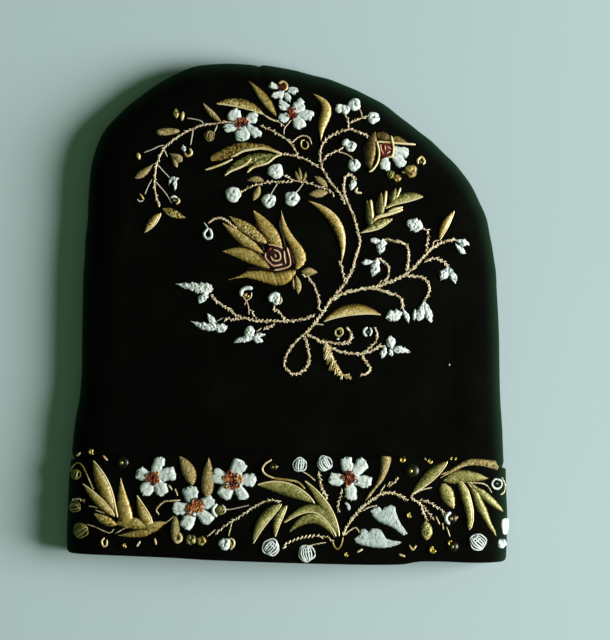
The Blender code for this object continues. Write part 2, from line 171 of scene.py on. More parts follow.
def front_height(across, up):
    """Height of the front's velvet over places on the chart."""
    across, up = np.asarray(across, dtype=float), np.asarray(up, dtype=float)
    low = up < POLE_UP
    reach = np.where(low, np.where(across > 0, side_reach(1, up), side_reach(-1, up)),
                     smooth(ARCH_REACH, np.arctan2(up - POLE_UP, across)))
    out = np.where(low, np.abs(across), np.hypot(across, up - POLE_UP))
    from_edge = np.maximum(reach - out, 0)
    turn = np.arccos(np.clip(1 - from_edge / FRONT_ROLL, 0, 1))
    inward = np.maximum((from_edge - FRONT_ROLL) / (reach - FRONT_ROLL), 0)
    height = SEAM_HEIGHT + FRONT_RISE * np.sin(turn) + FRONT_DOME * (1 - (1 - inward) ** 2)
    height += slack(across, up) * np.sin(turn)
    return height - np.where(up > band_edge_up(across), crown_depth(across, up), 0)


SLOPE_STEP = 0.4
STEEPEST_ACROSS, STEEPEST_UP = 1.6, 0.5  # limits to how far a stitch leans at the cap's edges


def lay(places, lift):
    """Lays places of the chart on the front's velvet, or so many millimetres above it. Gives metres."""
    across, up = places[..., 0], places[..., 1]
    slopes = []
    for step_across, step_up, steepest in ((SLOPE_STEP, 0, STEEPEST_ACROSS), (0, SLOPE_STEP, STEEPEST_UP)):
        ahead = front_height(across + step_across, up + step_up)
        behind = front_height(across - step_across, up - step_up)
        slopes.append(np.clip((ahead - behind) / (2 * SLOPE_STEP), -steepest, steepest))
    normal = np.stack((-slopes[0], -slopes[1], np.ones_like(across)), axis=-1)
    normal /= np.linalg.norm(normal, axis=-1, keepdims=True)
    height = front_height(across, up)
    points = np.stack((across - CHART_MIDDLE_ACROSS, up - CHART_MIDDLE_UP, height), axis=-1)
    return (points + normal * np.asarray(lift)[..., None]) * MM, normal


# Colours and materials

# How wide the grains of the materials' patterns are, in millimetres
BRUSHED_SIZE = 26.3  # patches of the pile that were last brushed one way
TUFT_SIZE = 0.625  # tufts stand about 0.3 mm apart: drawn coarser so that they show
WEAVE_PITCH = 1.9635  # the lining's threads lie 0.5 mm apart: drawn coarser
WAVE_BAND = math.tau / 20  # how wide a band of a wave pattern of scale 1 is
FIBRE_SIZE = 0.3846  # filaments are 0.1 mm thick: drawn coarser
TARNISH_SIZE = 1.111  # specks of tarnish
FOIL_SIZE = 1.4286  # flakes of gilt foil
CLOUD_SIZE = 454.5  # the board's slight unevenness of paint


def linear(code):
    """Turns an sRGB hex colour to linear red, green, blue and alpha."""
    parts = [int(code[i:i + 2], 16) / 255 for i in (1, 3, 5)]
    return tuple(p / 12.92 if p <= 0.04045 else ((p + 0.055) / 1.055) ** 2.4 for p in parts) + (1.0,)


def connect(tree, node, inputs):
    """Sets a node's inputs; an input is a value or another node's output."""
    for name, value in inputs.items():
        if isinstance(value, bpy.types.NodeSocket):
            tree.links.new(value, node.inputs[name])
        else:
            node.inputs[name].default_value = value


def add(tree, kind, inputs=None, **settings):
    """Adds a node with its settings and links."""
    node = tree.nodes.new(kind)
    for name, value in settings.items():
        setattr(node, name, value)
    connect(tree, node, inputs or {})
    return node


def grains(size):
    """The scale of a noise pattern whose grains are so many millimetres wide."""
    return 1 / (size * MM)


def start_material(name):
    """A new material with its tree, its shader and the place in metres that its patterns are drawn at."""
    material = bpy.data.materials.new(name)
    material.use_nodes = True
    tree = material.node_tree
    place = add(tree, "ShaderNodeTexCoord").outputs["Object"]
    return material, tree, tree.nodes["Principled BSDF"], place


def fill_ramp(node, stops):
    ramp = node.color_ramp
    for index, (place, code) in enumerate(stops):
        stop = ramp.elements[index] if index < 2 else ramp.elements.new(place)
        stop.position = place
        stop.color = linear(code)


def velvet():
    """Cotton velvet, its pile cut 1 mm high: black from above, glowing where seen along the pile, and with
    painted sheen over its rolled edges.
    """
    material, tree, shader, place = start_material("black_green_cotton_velvet")
    patches = add(tree, "ShaderNodeTexNoise",
                  {"Vector": place, "Scale": grains(BRUSHED_SIZE), "Detail": 3, "Roughness": 0.55})
    tufts = add(tree, "ShaderNodeTexNoise",
                {"Vector": place, "Scale": grains(TUFT_SIZE), "Detail": 2, "Roughness": 0.6})
    brushed = add(tree, "ShaderNodeMix", {0: 0.35, 2: patches.outputs["Fac"], 3: tufts.outputs["Fac"]},
                  data_type="FLOAT")
    ramp = add(tree, "ShaderNodeValToRGB", {"Fac": brushed.outputs[0]})
    fill_ramp(ramp, [(0.34, "#020302"), (0.64, "#070A05"), (0.52, "#040503")])
    # Painted sheen: a lighter bottle green is mixed into the pile's colour over the cap's rolled edges,
    # standing in for the glow of the pile turned to the light
    painted_sheen_attribute = add(tree, "ShaderNodeAttribute", attribute_name="thread", attribute_type="GEOMETRY")
    painted_sheen = add(tree, "ShaderNodeSeparateColor", {"Color": painted_sheen_attribute.outputs["Color"]})
    pile = add(tree, "ShaderNodeMix",
               {0: painted_sheen.outputs["Green"], 6: ramp.outputs["Color"], 7: linear("#193122")},
               data_type="RGBA")
    # The pile glows only where it is seen from the side, tuft by tuft
    seen = add(tree, "ShaderNodeLayerWeight", {"Blend": 0.5})
    glow = add(tree, "ShaderNodeMapRange",
               {"Value": seen.outputs["Facing"], "From Min": 0.05, "From Max": 0.4, "To Max": 0.62})
    tufted = add(tree, "ShaderNodeMath", {0: glow.outputs["Result"], 1: brushed.outputs[0]},
                 operation="MULTIPLY")
    bump = add(tree, "ShaderNodeBump",
               {"Height": tufts.outputs["Fac"], "Strength": 0.55, "Distance": 0.0004})
    connect(tree, shader, {
        "Base Color": pile.outputs[2], "Roughness": 0.9, "IOR": 1.5, "Specular IOR Level": 0.05,
        "Sheen Weight": tufted.outputs[0], "Sheen Roughness": 0.3, "Sheen Tint": linear("#6CA086"),
        "Normal": bump.outputs["Normal"]})
    return material


def lining():
    """Plain-woven cotton lining, dull and black, seen only inside the mouth."""
    material, tree, shader, place = start_material("black_cotton_lining")
    scale = WAVE_BAND / (WEAVE_PITCH * MM)
    warp, weft = (add(tree, "ShaderNodeTexWave", {"Vector": place, "Scale": scale, "Distortion": 0.4},
                      bands_direction=way) for way in "XY")
    weave = add(tree, "ShaderNodeMath", {0: warp.outputs["Fac"], 1: weft.outputs["Fac"]},
                operation="MULTIPLY")
    ramp = add(tree, "ShaderNodeValToRGB", {"Fac": weave.outputs[0]})
    fill_ramp(ramp, [(0, "#0C0D0C"), (1, "#1D1F1D")])
    bump = add(tree, "ShaderNodeBump", {"Height": weave.outputs[0], "Strength": 0.3, "Distance": 0.0002})
    connect(tree, shader, {"Base Color": ramp.outputs["Color"], "Roughness": 0.85,
                           "Normal": bump.outputs["Normal"]})
    return material


Thread = namedtuple("Thread", "slot stops blush roughness metallic specular sheen")
THREADS = {
    # Gilt thread, a gold foil wound round a silk core: a soft yellow gloss, olive where it lies in shade
    "gold": Thread("gold_thread", [(0, "#161203"), (0.32, "#5A4A14"), (0.66, "#B49A4A"), (1, "#FAEAB4")],
                   "#E0AE74", 0.42, 0.2, 0.5, 0),
    # The same thread worn greener and duller
    "olive": Thread("gold_thread", [(0, "#0E1208"), (0.32, "#42461A"), (0.66, "#8E8B48"), (1, "#DEDA9E")],
                    "#C8A468", 0.45, 0.2, 0.5, 0),
    # Bright gilt cord laid along the edges of leaves: the lightest and glossiest of the gold
    "bright": Thread("gold_thread", [(0, "#7A6226"), (0.4, "#B8974C"), (0.75, "#E2C985"), (1, "#FCEFC2")],
                     "#E0AE7C", 0.38, 0.2, 0.5, 0),
    # Tan chenille, a fuzzy twisted silk that looks crumbly and dull
    "tan": Thread("gold_thread", [(0, "#2B2410"), (0.4, "#756639"), (0.75, "#AC9963"), (1, "#DCCDA0")],
                  "#B0905E", 0.75, 0, 0.3, 0.2),
    # Couched cord of gilt thread over a silk core that shows pink where the gilt has worn
    "cord": Thread("gold_thread", [(0, "#33280F"), (0.4, "#8F7A48"), (0.75, "#E2CF9E"), (1, "#FFF6DC")],
                   "#E6B49C", 0.45, 0.15, 0.5, 0),
    # Thin grey silk strand with one silver filament: pale, with hardly a gloss
    "grey": Thread("white_silk", [(0, "#6B6352"), (0.4, "#A2978A"), (0.8, "#CFC6B8"), (1, "#EFEBE0")],
                   "#C9A48E", 0.5, 0, 0.5, 0),
    # Floss silk, white with a cool cast: bright soft threads with grey between them
    "white": Thread("white_silk", [(0, "#141E20"), (0.3, "#76888A"), (0.65, "#C4D6D6"), (1, "#EEF7F7")],
                    "#9FC4C4", 0.55, 0, 0.4, 0.1),
    # Dark red floss silk of the flower centres, nearly black in its folds
    "red": Thread("red_silk", [(0, "#120304"), (0.4, "#3A0A0A"), (0.75, "#701A12"), (1, "#A0401E")],
                  "#B5602F", 0.55, 0, 0.4, 0),
    # Orange-brown and pink silk strands that lie over the red, lighter and a little glossy
    "orange": Thread("red_silk", [(0, "#3A1206"), (0.4, "#8A3E12"), (0.75, "#C6742A"), (1, "#EBB272")],
                     "#D98A6A", 0.5, 0.05, 0.4, 0),
    "pink": Thread("red_silk", [(0, "#6A3A28"), (0.4, "#A8704F"), (0.75, "#D6A583"), (1, "#EED0B0")],
                   "#DDA684", 0.5, 0, 0.4, 0),
}


def thread_material(name):
    """A thread's colour runs from shade to light by the tone of each stitch, and to its blush in places."""
    thread = THREADS[name]
    material, tree, shader, place = start_material(f"{name}_embroidery_thread")
    worked = add(tree, "ShaderNodeAttribute", attribute_name="thread", attribute_type="GEOMETRY")
    shade = add(tree, "ShaderNodeSeparateColor", {"Color": worked.outputs["Color"]})
    fibre = add(tree, "ShaderNodeTexNoise", {"Vector": place, "Scale": grains(FIBRE_SIZE), "Detail": 2})
    uneven = add(tree, "ShaderNodeMath", {0: fibre.outputs["Fac"], 1: 0.34, 2: -0.17},
                 operation="MULTIPLY_ADD")
    tone = add(tree, "ShaderNodeMath", {0: shade.outputs["Red"], 1: uneven.outputs[0]}, operation="ADD")
    ramp = add(tree, "ShaderNodeValToRGB", {"Fac": tone.outputs[0]})
    fill_ramp(ramp, thread.stops)
    colour = add(tree, "ShaderNodeMix",
                 {0: shade.outputs["Green"], 6: ramp.outputs["Color"], 7: linear(thread.blush)},
                 data_type="RGBA")
    bump = add(tree, "ShaderNodeBump",
               {"Height": fibre.outputs["Fac"], "Strength": 0.35, "Distance": 0.00015})
    connect(tree, shader, {
        "Base Color": colour.outputs[2], "Roughness": thread.roughness, "Metallic": thread.metallic,
        "Specular IOR Level": thread.specular, "Sheen Weight": thread.sheen,
        "Normal": bump.outputs["Normal"]})
    return material


def brass():
    """Stamped brass sequin, thin and a little tarnished: sharp yellow-green glints."""
    material, tree, shader, place = start_material("tarnished_brass_sequin")
    tarnish = add(tree, "ShaderNodeTexNoise", {"Vector": place, "Scale": grains(TARNISH_SIZE), "Detail": 3})
    ramp = add(tree, "ShaderNodeValToRGB", {"Fac": tarnish.outputs["Fac"]})
    fill_ramp(ramp, [(0.35, "#9C8638"), (0.6, "#E4D07A")])
    connect(tree, shader, {"Base Color": ramp.outputs["Color"], "Metallic": 1, "Roughness": 0.42})
    return material


def dark_glass():
    """Foiled glass bead, brown-black: a soft gloss over a gold-green heart, which bead() lays on as a brass
    crescent, partly the foil and partly a painted glint.
    """
    material, tree, shader, place = start_material("dark_foiled_glass_bead")
    foil = add(tree, "ShaderNodeTexNoise", {"Vector": place, "Scale": grains(FOIL_SIZE), "Detail": 2})
    ramp = add(tree, "ShaderNodeValToRGB", {"Fac": foil.outputs["Fac"]})
    fill_ramp(ramp, [(0.4, "#060502"), (0.7, "#1C190A")])
    connect(tree, shader, {"Base Color": ramp.outputs["Color"], "Roughness": 0.3, "IOR": 1.52})
    return material


def table_top():
    """Matt painted board under the cap, pale blue-green."""
    material, tree, shader, place = start_material("pale_painted_board")
    cloud = add(tree, "ShaderNodeTexNoise", {"Vector": place, "Scale": grains(CLOUD_SIZE), "Detail": 2})
    ramp = add(tree, "ShaderNodeValToRGB", {"Fac": cloud.outputs["Fac"]})
    fill_ramp(ramp, [(0.3, "#C2D9E3"), (0.7, "#C7DEE6")])
    connect(tree, shader, {"Base Color": ramp.outputs["Color"], "Roughness": 0.75,
                           "Specular IOR Level": 0.2})
    return material


MATERIALS = {name: thread_material(name) for name in THREADS}
MATERIALS.update(velvet=velvet(), lining=lining(), brass=brass(), glass=dark_glass())


# Making the pieces

def between_rings(grid):
    """Faces between neighbouring closed rings, as the numbers of their points."""
    beside = np.roll(grid, -1, axis=1)
    return np.stack((grid[:-1], beside[:-1], beside[1:], grid[1:]), axis=-1).reshape(-1, 4)


class Piece:
    """Gathers the faces of one piece, with a shade and a finish for each."""

    def __init__(self, name):
        self.name = name
        self.points, self.shades, self.faces, self.finishes, self.used = [], [], [], [], []
        self.count = 0

    def add_points(self, points, shade):
        self.points.append(points.reshape(-1, 3))
        self.shades.append(np.broadcast_to(shade, points.shape[:-1] + (3,)).reshape(-1, 3))
        start = self.count
        self.count += len(self.points[-1])
        return start

    def add_faces(self, faces, finish):
        if finish not in self.used:
            self.used.append(finish)
        self.faces.extend(faces)
        self.finishes.extend([self.used.index(finish)] * len(faces))

    def sweep(self, rings, shade, finish):
        """Joins closed rings of points, an array of ring by point by 3, into a closed skin."""
        start = self.add_points(rings, shade)
        count, around = rings.shape[:2]
        grid = start + np.arange(count * around).reshape(count, around)
        self.add_faces(between_rings(grid).tolist(), finish)
        self.add_faces([grid[0, ::-1].tolist(), grid[-1].tolist()], finish)

    def make(self):
        mesh = bpy.data.meshes.new(self.name)
        points = np.concatenate(self.points)
        mesh.from_pydata(points.tolist(), [], self.faces)
        shades = np.concatenate(self.shades)
        layer = mesh.color_attributes.new("thread", "FLOAT_COLOR", "POINT")
        layer.data.foreach_set("color", np.column_stack((shades, np.ones(len(shades)))).ravel())
        for finish in self.used:
            mesh.materials.append(MATERIALS[finish])
        mesh.polygons.foreach_set("material_index", self.finishes)
        mesh.shade_smooth()
        item = bpy.data.objects.new(self.name, mesh)
        bpy.context.collection.objects.link(item)
        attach(item, "root")
        return item


PIECES = {}


def piece(name):
    return PIECES.setdefault(name, Piece(name))


# Satin stitch

STITCH_STEP = 0.24
STITCH_PITCH = 0.95  # real stitches lie 0.4 mm apart: drawn coarser so that they show
FLOSS_WIDTH = 0.95
BAR_PITCH = 2.3
BLUNT_FROM = 0.62  # a petal of floss widens up to here, then ends bluntly
PETAL_FOOT = 0.42  # how wide such a petal starts
END_HALF = 0.18

# A worked shape runs from its base to its tip. Its bow is to the left of that way. Full is 1 for a pointed
# leaf and less for a rounder one. Light is the side that catches it: 1 left, -1 right. Rim is the side with
# a bright cord. Sway bends the shape both ways, like an S, and dim darkens it.
Worked = namedtuple("Worked", "piece finish style base tip bow width belly full light rim sway dim edges",
                    defaults=(0, "", 0, 0, None))


def run_along(line):
    """How far along a line each of its points is."""
    return np.concatenate(([0], np.cumsum(np.linalg.norm(np.diff(line, axis=0), axis=1))))


def at_shares(places, count):
    """Places evenly apart along a line with corners."""
    places = np.array(places, dtype=float)
    run = run_along(places)
    even = np.linspace(0, run[-1], count)
    return np.column_stack([np.interp(even, run, places[:, axis]) for axis in (0, 1)])


def left_of(way):
    """The direction to the left of a way, one millimetre long."""
    side = np.stack((-way[..., 1], way[..., 0]), axis=-1)
    return side / np.maximum(np.linalg.norm(side, axis=-1, keepdims=True), TINY)


def on_circle(turns):
    return np.column_stack((np.cos(turns), np.sin(turns)))


def shades_of(tones, blush=0.0):
    """Shades of points: their tone, and how much of the thread's blush they have."""
    return np.stack((tones, np.broadcast_to(blush, tones.shape), np.zeros_like(tones)), axis=-1)


def edged(name, finish, style, left, right, light=0, rim="", dim=0):
    """A worked shape given by its left and its right edge, both from the base to the tip."""
    width = max(math.dist(a, b) for a, b in zip(at_shares(left, 12), at_shares(right, 12)))
    return Worked(name, finish, style, left[0], left[-1], 0, width, 0.5, 1, light, rim, 0, dim,
                  (left, right))


def listed(kind, groups):
    """The rows of a table, each group of which is in one piece."""
    return [kind(owner, *row) for owner, rows in groups for row in rows]


def hashed(values, salt):
    """Random numbers from 0 to 1 that depend only on whole numbers."""
    mixed = np.sin(values * 12.9898 + salt * 78.233) * 43758.5453
    return mixed - np.floor(mixed)


def spine_of(row, count):
    """A worked shape's middle line, with the way to its left and half its width at each point."""
    if row.edges:
        left, right = (at_shares(edge, count) for edge in row.edges)
        middle = (left + right) / 2
        half = np.linalg.norm(left - right, axis=1) / 2
        straight = (left - right) / np.maximum(half * 2, TINY)[:, None]
        side = np.where(half[:, None] > END_HALF, straight, left_of(np.gradient(middle, axis=0)))
    else:
        base, tip = np.array(row.base, dtype=float), np.array(row.tip, dtype=float)
        share = np.linspace(0, 1, count)
        bend = row.bow * 4 * share * (1 - share) + row.sway * np.sin(2 * math.pi * share)
        middle = base + (tip - base) * share[:, None] + left_of(tip - base) * bend[:, None]
        side = left_of(np.gradient(middle, axis=0))
        bulge = np.sin(math.pi * share ** (math.log(0.5) / math.log(row.belly)))
        if row.style == "floss":
            blunt = np.clip((share - BLUNT_FROM) / (1 - BLUNT_FROM), 0, 1) ** 5
            opening = PETAL_FOOT + (1 - PETAL_FOOT) * ease(share / BLUNT_FROM)
            bulge = opening * (1 - blunt) ** (1.2 * row.full)
        half = row.width / 2 * np.maximum(bulge, 0) ** row.full
    return middle, side, np.maximum(half, END_HALF)


def patchy(first, second, size, salt):
    """Random numbers that change smoothly over two directions, in patches of a size."""
    x, y = np.broadcast_arrays(first / size, second / size)
    corner_x, corner_y = np.floor(x), np.floor(y)
    mix_x, mix_y = ease(x - corner_x), ease(y - corner_y)
    total = 0
    for step_x in (0, 1):
        for step_y in (0, 1):
            share = (mix_x if step_x else 1 - mix_x) * (mix_y if step_y else 1 - mix_y)
            total = total + share * hashed((corner_x + step_x) * 31 + (corner_y + step_y) * 7, salt)
    return total


# A grainy stitch: how big its grains are, how high and how far sunk, how strongly and about which middle
# they shade, how strongly its specks do, and how much darker the gaps are, below a level
Grain = namedtuple("Grain", "size height sunk contrast middle specks gaps below")
GRAINS = {
    "knots": Grain(0.55, 0.26, 0, 0.8, 0.5, 0.35, 0.16, 0.26),
    "chenille": Grain(0.7, 0.4, 0, 0.5, 0.5, 0.35, 0, 0),
    "felt": Grain(0.6, 0.22, 0, 0.35, 0.5, 0.3, 0.18, 0.22),
    "crumbs": Grain(0.85, 0.8, 0.25, 0.62, 0.42, 0.35, 0.34, 0.27),
}
SEAM_SHADE = 0.3  # how much darker the seams between stitches are
SPECK_SIZE = 0.42
LUMP_SIZE = 1.3
STIPPLE_SIZE = 0.5


def strand_of(row, sideways):
    """Which strand of floss is where on a petal: sideways is -1 at its right edge and 1 at its left."""
    return (sideways + 1) / 2 * max(round(row.width / FLOSS_WIDTH), 3)


def stitches(row, along, across, sideways, dome, salt):
    """The relief and the shade that a kind of stitch gives a worked shape."""
    speck = patchy(along, across, SPECK_SIZE, salt + 5) - 0.5
    if row.style in GRAINS:
        kind = GRAINS[row.style]
        grain = patchy(along, across, kind.size, salt)
        shade = kind.contrast * (grain - kind.middle) + kind.specks * speck
        return kind.height * (grain - kind.sunk) * dome, shade - kind.gaps * (grain < kind.below)
    if row.style == "bars":
        bar = along / BAR_PITCH
        valley = np.abs(np.sin(math.pi * bar))
        shade = 0.16 * (hashed(np.floor(bar), salt) - 0.5) + 0.4 * speck - SEAM_SHADE * (valley < 0.16)
        return 0.1 * valley ** 0.4, shade
    if row.style == "floss":
        strand = strand_of(row, sideways)
        valley = np.abs(np.sin(math.pi * strand))
        shade = 0.34 * (hashed(np.floor(strand), salt) - 0.5) - SEAM_SHADE * (valley < 0.2) + 0.5 * speck
        return (0.12 * valley + 0.3 * patchy(along, across, LUMP_SIZE, salt)) * dome, shade
    stitch = (along + 0.55 * np.abs(across)) / STITCH_PITCH
    valley = np.abs(np.sin(math.pi * stitch))
    stipple = patchy(along, across, STIPPLE_SIZE, salt + 11)
    shade = 0.1 * (hashed(np.floor(stitch), salt) - 0.5) + 0.07 * (valley - 0.6) + 0.5 * speck
    return 0.05 * valley ** 0.8, shade - SEAM_SHADE * (stipple < 0.16) + 0.2 * (stipple > 0.86)


RAGGED_STEP = 0.34
RAGGED_EDGE = {"crumbs": (0.5, 1), "floss": (0.3, 1.5)}  # how deep and how long the edge's notches are
TIP_FRAY = 1.9  # how far strands of floss end before or past a petal's tip
FOOT_LIFT = -0.15  # a worked shape's foot is just under the pile
RIM_CORD = 0.9  # how far out towards the edge the bright cord lies
SIDE_LIGHT, EDGE_SHADE, TIP_BLUSH = 0.42, 0.2, 0.3


def work(row, thickness, tone):
    """Works a padded shape in satin stitch, knots, long bars, floss or crumbs of floss."""
    ragged = row.style in RAGGED_EDGE
    count = max(int(math.dist(row.base, row.tip) / (RAGGED_STEP if ragged else STITCH_STEP)), 14)
    middle, side, half = spine_of(row, count)
    salt = abs(row.base[0] * 3.7 + row.base[1] * 1.3) % 50
    sideways = np.linspace(-1, 1, 19 if ragged else 13)[None, :]
    along = run_along(middle)[:, None]
    share = along / along[-1]
    across = half[:, None] * sideways
    rise = thickness * np.clip(half / (row.width / 2), 0.25, 1)[:, None] ** 0.6
    flatness = 4.5 if row.style in ("floss", "felt") else 2.4
    dome = np.maximum(1 - np.abs(sideways) ** flatness, 0) ** 0.6
    ridge, shade = stitches(row, along, across, sideways, dome, salt)
    edge = 1 + 0.018 * np.sin(along / 0.5 + salt)
    if ragged:
        depth, size = RAGGED_EDGE[row.style]
        edge = 1 + depth * (patchy(along, np.sign(across) * 3, size, salt) - 0.5)
    places = middle[:, None] + side[:, None] * (across * edge)[..., None]
    if ragged:
        strand = np.floor(strand_of(row, sideways))
        reach = TIP_FRAY * (hashed(strand, salt + 9) - 0.6) * share ** 4
        reach = reach - (hashed(strand, salt + 4) - 0.5) * (1 - share) ** 3
        places = places - left_of(side)[:, None] * reach[..., None]
    tones = tone - row.dim + SIDE_LIGHT * row.light * sideways + shade - EDGE_SHADE * (1 - dome)
    foot = np.full((count, 1), FOOT_LIFT)
    lifts = np.concatenate((foot, rise * dome + ridge, foot), axis=1)
    places, tones = (np.concatenate((one[:, :1], one, one[:, -1:]), axis=1) for one in (places, tones))
    blush = TIP_BLUSH * share ** 8 if row.finish in ("gold", "olive") else 0
    piece(row.piece).sweep(lay(places, lifts)[0][:, ::-1], shades_of(tones, blush)[:, ::-1], row.finish)
    if row.rim:
        line = middle + side * (half * RIM_CORD * (1 if row.rim == L else -1))[:, None]
        run_cord(row.piece, line, 0.9, "bright", twist=0, tone=0.95, lift=0.6)


# Cords, strands and barbs

CORD_STEP = 0.38
CORD_THINNING = 0.7
CROWN_FROM = 60
BARB_SHARE = 0.5
BARB_REACH, BARB_WIDTH, BARB_LIFT = (0.6, 1.25), (0.42, 0.62), (0.45, 0.8)
BARB_TONES = (0.4, 0.8, 1, 1.1)
PLY_PITCH = 1.9  # the cord's own ply turns every 0.8 mm: drawn coarser
HAIR_SIZE = 0.7  # the cord's loose hairs and the gaps between them
PLY_RELIEF, HAIR_RELIEF = 0.2, 0.4
PLY_SHADE, HAIR_SHADE = 0.3, 0.7
LONG_PATCH, SHORT_PATCH = (0.1, 3.1), (0.06, 1.3)  # a cord's lighter stretches: how strong and how long
BLUSH_PATCH = (0.35, 4.3)  # the same for its pinker stretches
END_SIZE = 0.45  # how thick a cord's very end is
ROUND_TURN = np.linspace(0, 2 * math.pi, 30)
BALL_HEIGHT = 1.3
BALL_STRAND = 0.85  # how wide the strands are that a ball is wound of
WINDING_PITCH = 1.9
LUMP_SHARES = [1, 0.99, 0.93, 0.83, 0.7, 0.55, 0.38, 0.2, 0.05]
DOME_SHARES = [1, 0.99, 0.9, 0.7, 0.45, 0.2, 0.05]
DOME_TURN = np.linspace(0, 2 * math.pi, 16, endpoint=False)
RIM_LIFT = -0.1  # the rim of a ball, dome or bead is just under the pile


def through(places):
    """A smooth line through places, with points evenly apart."""
    places = np.array(places, dtype=float)
    if len(places) == 2:
        return np.linspace(*places, max(int(math.dist(*places) / CORD_STEP), 2) + 1)
    gaps = np.maximum(np.linalg.norm(np.diff(places, axis=0), axis=1), 1e-3)
    knots = np.concatenate(([0], np.cumsum(np.sqrt(gaps))))
    fine = np.linspace(0, knots[-1], max(int(gaps.sum() / (CORD_STEP / 3)), 6))
    line = np.column_stack([smooth(list(zip(knots, places[:, axis])), fine) for axis in (0, 1)])
    return at_shares(line, max(int(run_along(line)[-1] / CORD_STEP), 3) + 1)


def run_cord(name, line, width, finish, twist=1.0, tone=0.7, lift=None, taper=1.5, sides=8, blush=0.0):
    """Lays a cord along a line of the chart; twist is how deeply its plies show."""
    radius = width / 2
    centre, normal = lay(line, np.full(len(line), radius * 0.7 if lift is None else lift))
    run = run_along(line)
    way = np.gradient(centre, axis=0)
    side = np.cross(normal, way)
    side /= np.linalg.norm(side, axis=1, keepdims=True)
    up = np.cross(way, side)
    up /= np.linalg.norm(up, axis=1, keepdims=True)
    turn = np.linspace(0, 2 * math.pi, sides, endpoint=False)[None, :]
    ply = np.cos(2 * turn - 2 * math.pi * run[:, None] / PLY_PITCH)
    ends = np.clip(np.minimum(run, run[-1] - run) / taper, 0, 1) ** 0.5
    hairs = patchy(run[:, None], turn * radius * 2, HAIR_SIZE, line[0, 0] + 60) - 0.5
    relief = 1 + PLY_RELIEF * twist * ply + HAIR_RELIEF * twist * hairs
    size = radius * MM * (END_SIZE + (1 - END_SIZE) * ends)[:, None] * relief
    rings = centre[:, None] + side[:, None] * (size * np.cos(turn))[..., None]
    rings += up[:, None] * (size * np.sin(turn))[..., None]
    (strong, long), (weak, short) = LONG_PATCH, SHORT_PATCH
    patch = strong * np.sin(run / long + line[:, :1].sum()) + weak * np.sin(run / short)
    tones = tone + patch[:, None] + PLY_SHADE * twist * ply + HAIR_SHADE * twist * hairs
    extra = BLUSH_PATCH[0] * np.sin(run / BLUSH_PATCH[1] + line[0, 0]) ** 2 * (blush > 0)
    blushes = np.clip(blush + extra, 0, 1)[:, None]
    piece(name).sweep(rings, shades_of(tones, blushes), finish)


# A stem: the piece it is in, its width, how far apart its barbs are (0 for none), its way and its thread
Stem = namedtuple("Stem", "piece width barbs way finish", defaults=("cord",))


def sew_stem(stem):
    """A couched stem, and the barbs that stand off it to both sides."""
    line = through(stem.way)
    twisted, on_crown = stem.finish == "cord", line[:, 1].mean() > CROWN_FROM
    run_cord(stem.piece, line, stem.width * CORD_THINNING, stem.finish, twist=1 if twisted else 0.3,
             tone=0.78 if on_crown else 0.66, blush=0.08 if twisted and on_crown else 0)
    if not stem.barbs:
        return
    run = run_along(line)
    place, hand = stem.barbs * 0.3, 1
    while place < run[-1] - 0.4:
        index = int(np.searchsorted(run, place))
        way = line[min(index + 1, len(line) - 1)] - line[index - 1]
        way /= max(np.hypot(*way), TINY)
        side = left_of(way) * hand
        reach = random.uniform(*BARB_REACH)
        start = line[index] - way * 0.8 - side * 0.2
        end = line[index] + side * reach + way * reach * random.uniform(0.3, 1.3)
        run_cord(stem.piece, np.linspace(start, end, 4), random.uniform(*BARB_WIDTH), stem.finish, twist=0,
                 tone=random.choice(BARB_TONES), lift=random.uniform(*BARB_LIFT), taper=0.6, sides=5)
        place += stem.barbs * BARB_SHARE * random.uniform(0.6, 1.4)
        hand = -hand if random.random() < 0.7 else hand


# Balls, knots, beads and sequins

# A ball of floss; its slit is given as half the slit's width, and None stands for a ball of wound strands
Ball = namedtuple("Ball", "piece middle radius angle slit finish", defaults=("white",))


def lump_ball(ball, circle, way, side, salt, bright):
    """A lumpy ball of floss with a slit along it."""
    shares = np.array(LUMP_SHARES)[:, None]
    lobes = 1 + 0.12 * (patchy(ROUND_TURN[:-1] * ball.radius, 0, LUMP_SIZE, salt) - 0.5)
    spread = circle[None, :-1] * lobes[None, :, None] * shares[..., None] * ball.radius
    grain = patchy(spread[..., 0] + 20, spread[..., 1] + 20, 1, salt)
    dome = np.sqrt(np.maximum(1 - shares ** 2.6, 0))
    off, run = spread @ side, spread @ way
    slit = (np.abs(off + 0.4 * np.sin(run)) < ball.slit) * (run > -0.35 * ball.radius)
    lifts = (BALL_HEIGHT + 0.9 * (grain - 0.3) - 0.6 * slit) * dome
    lifts[0] = RIM_LIFT
    tones = bright + 0.6 * (grain - 0.45) - 0.3 * (grain < 0.28) - 0.6 * slit
    piece(ball.piece).sweep(lay(np.array(ball.middle) + spread, lifts)[0], shades_of(tones), ball.finish)


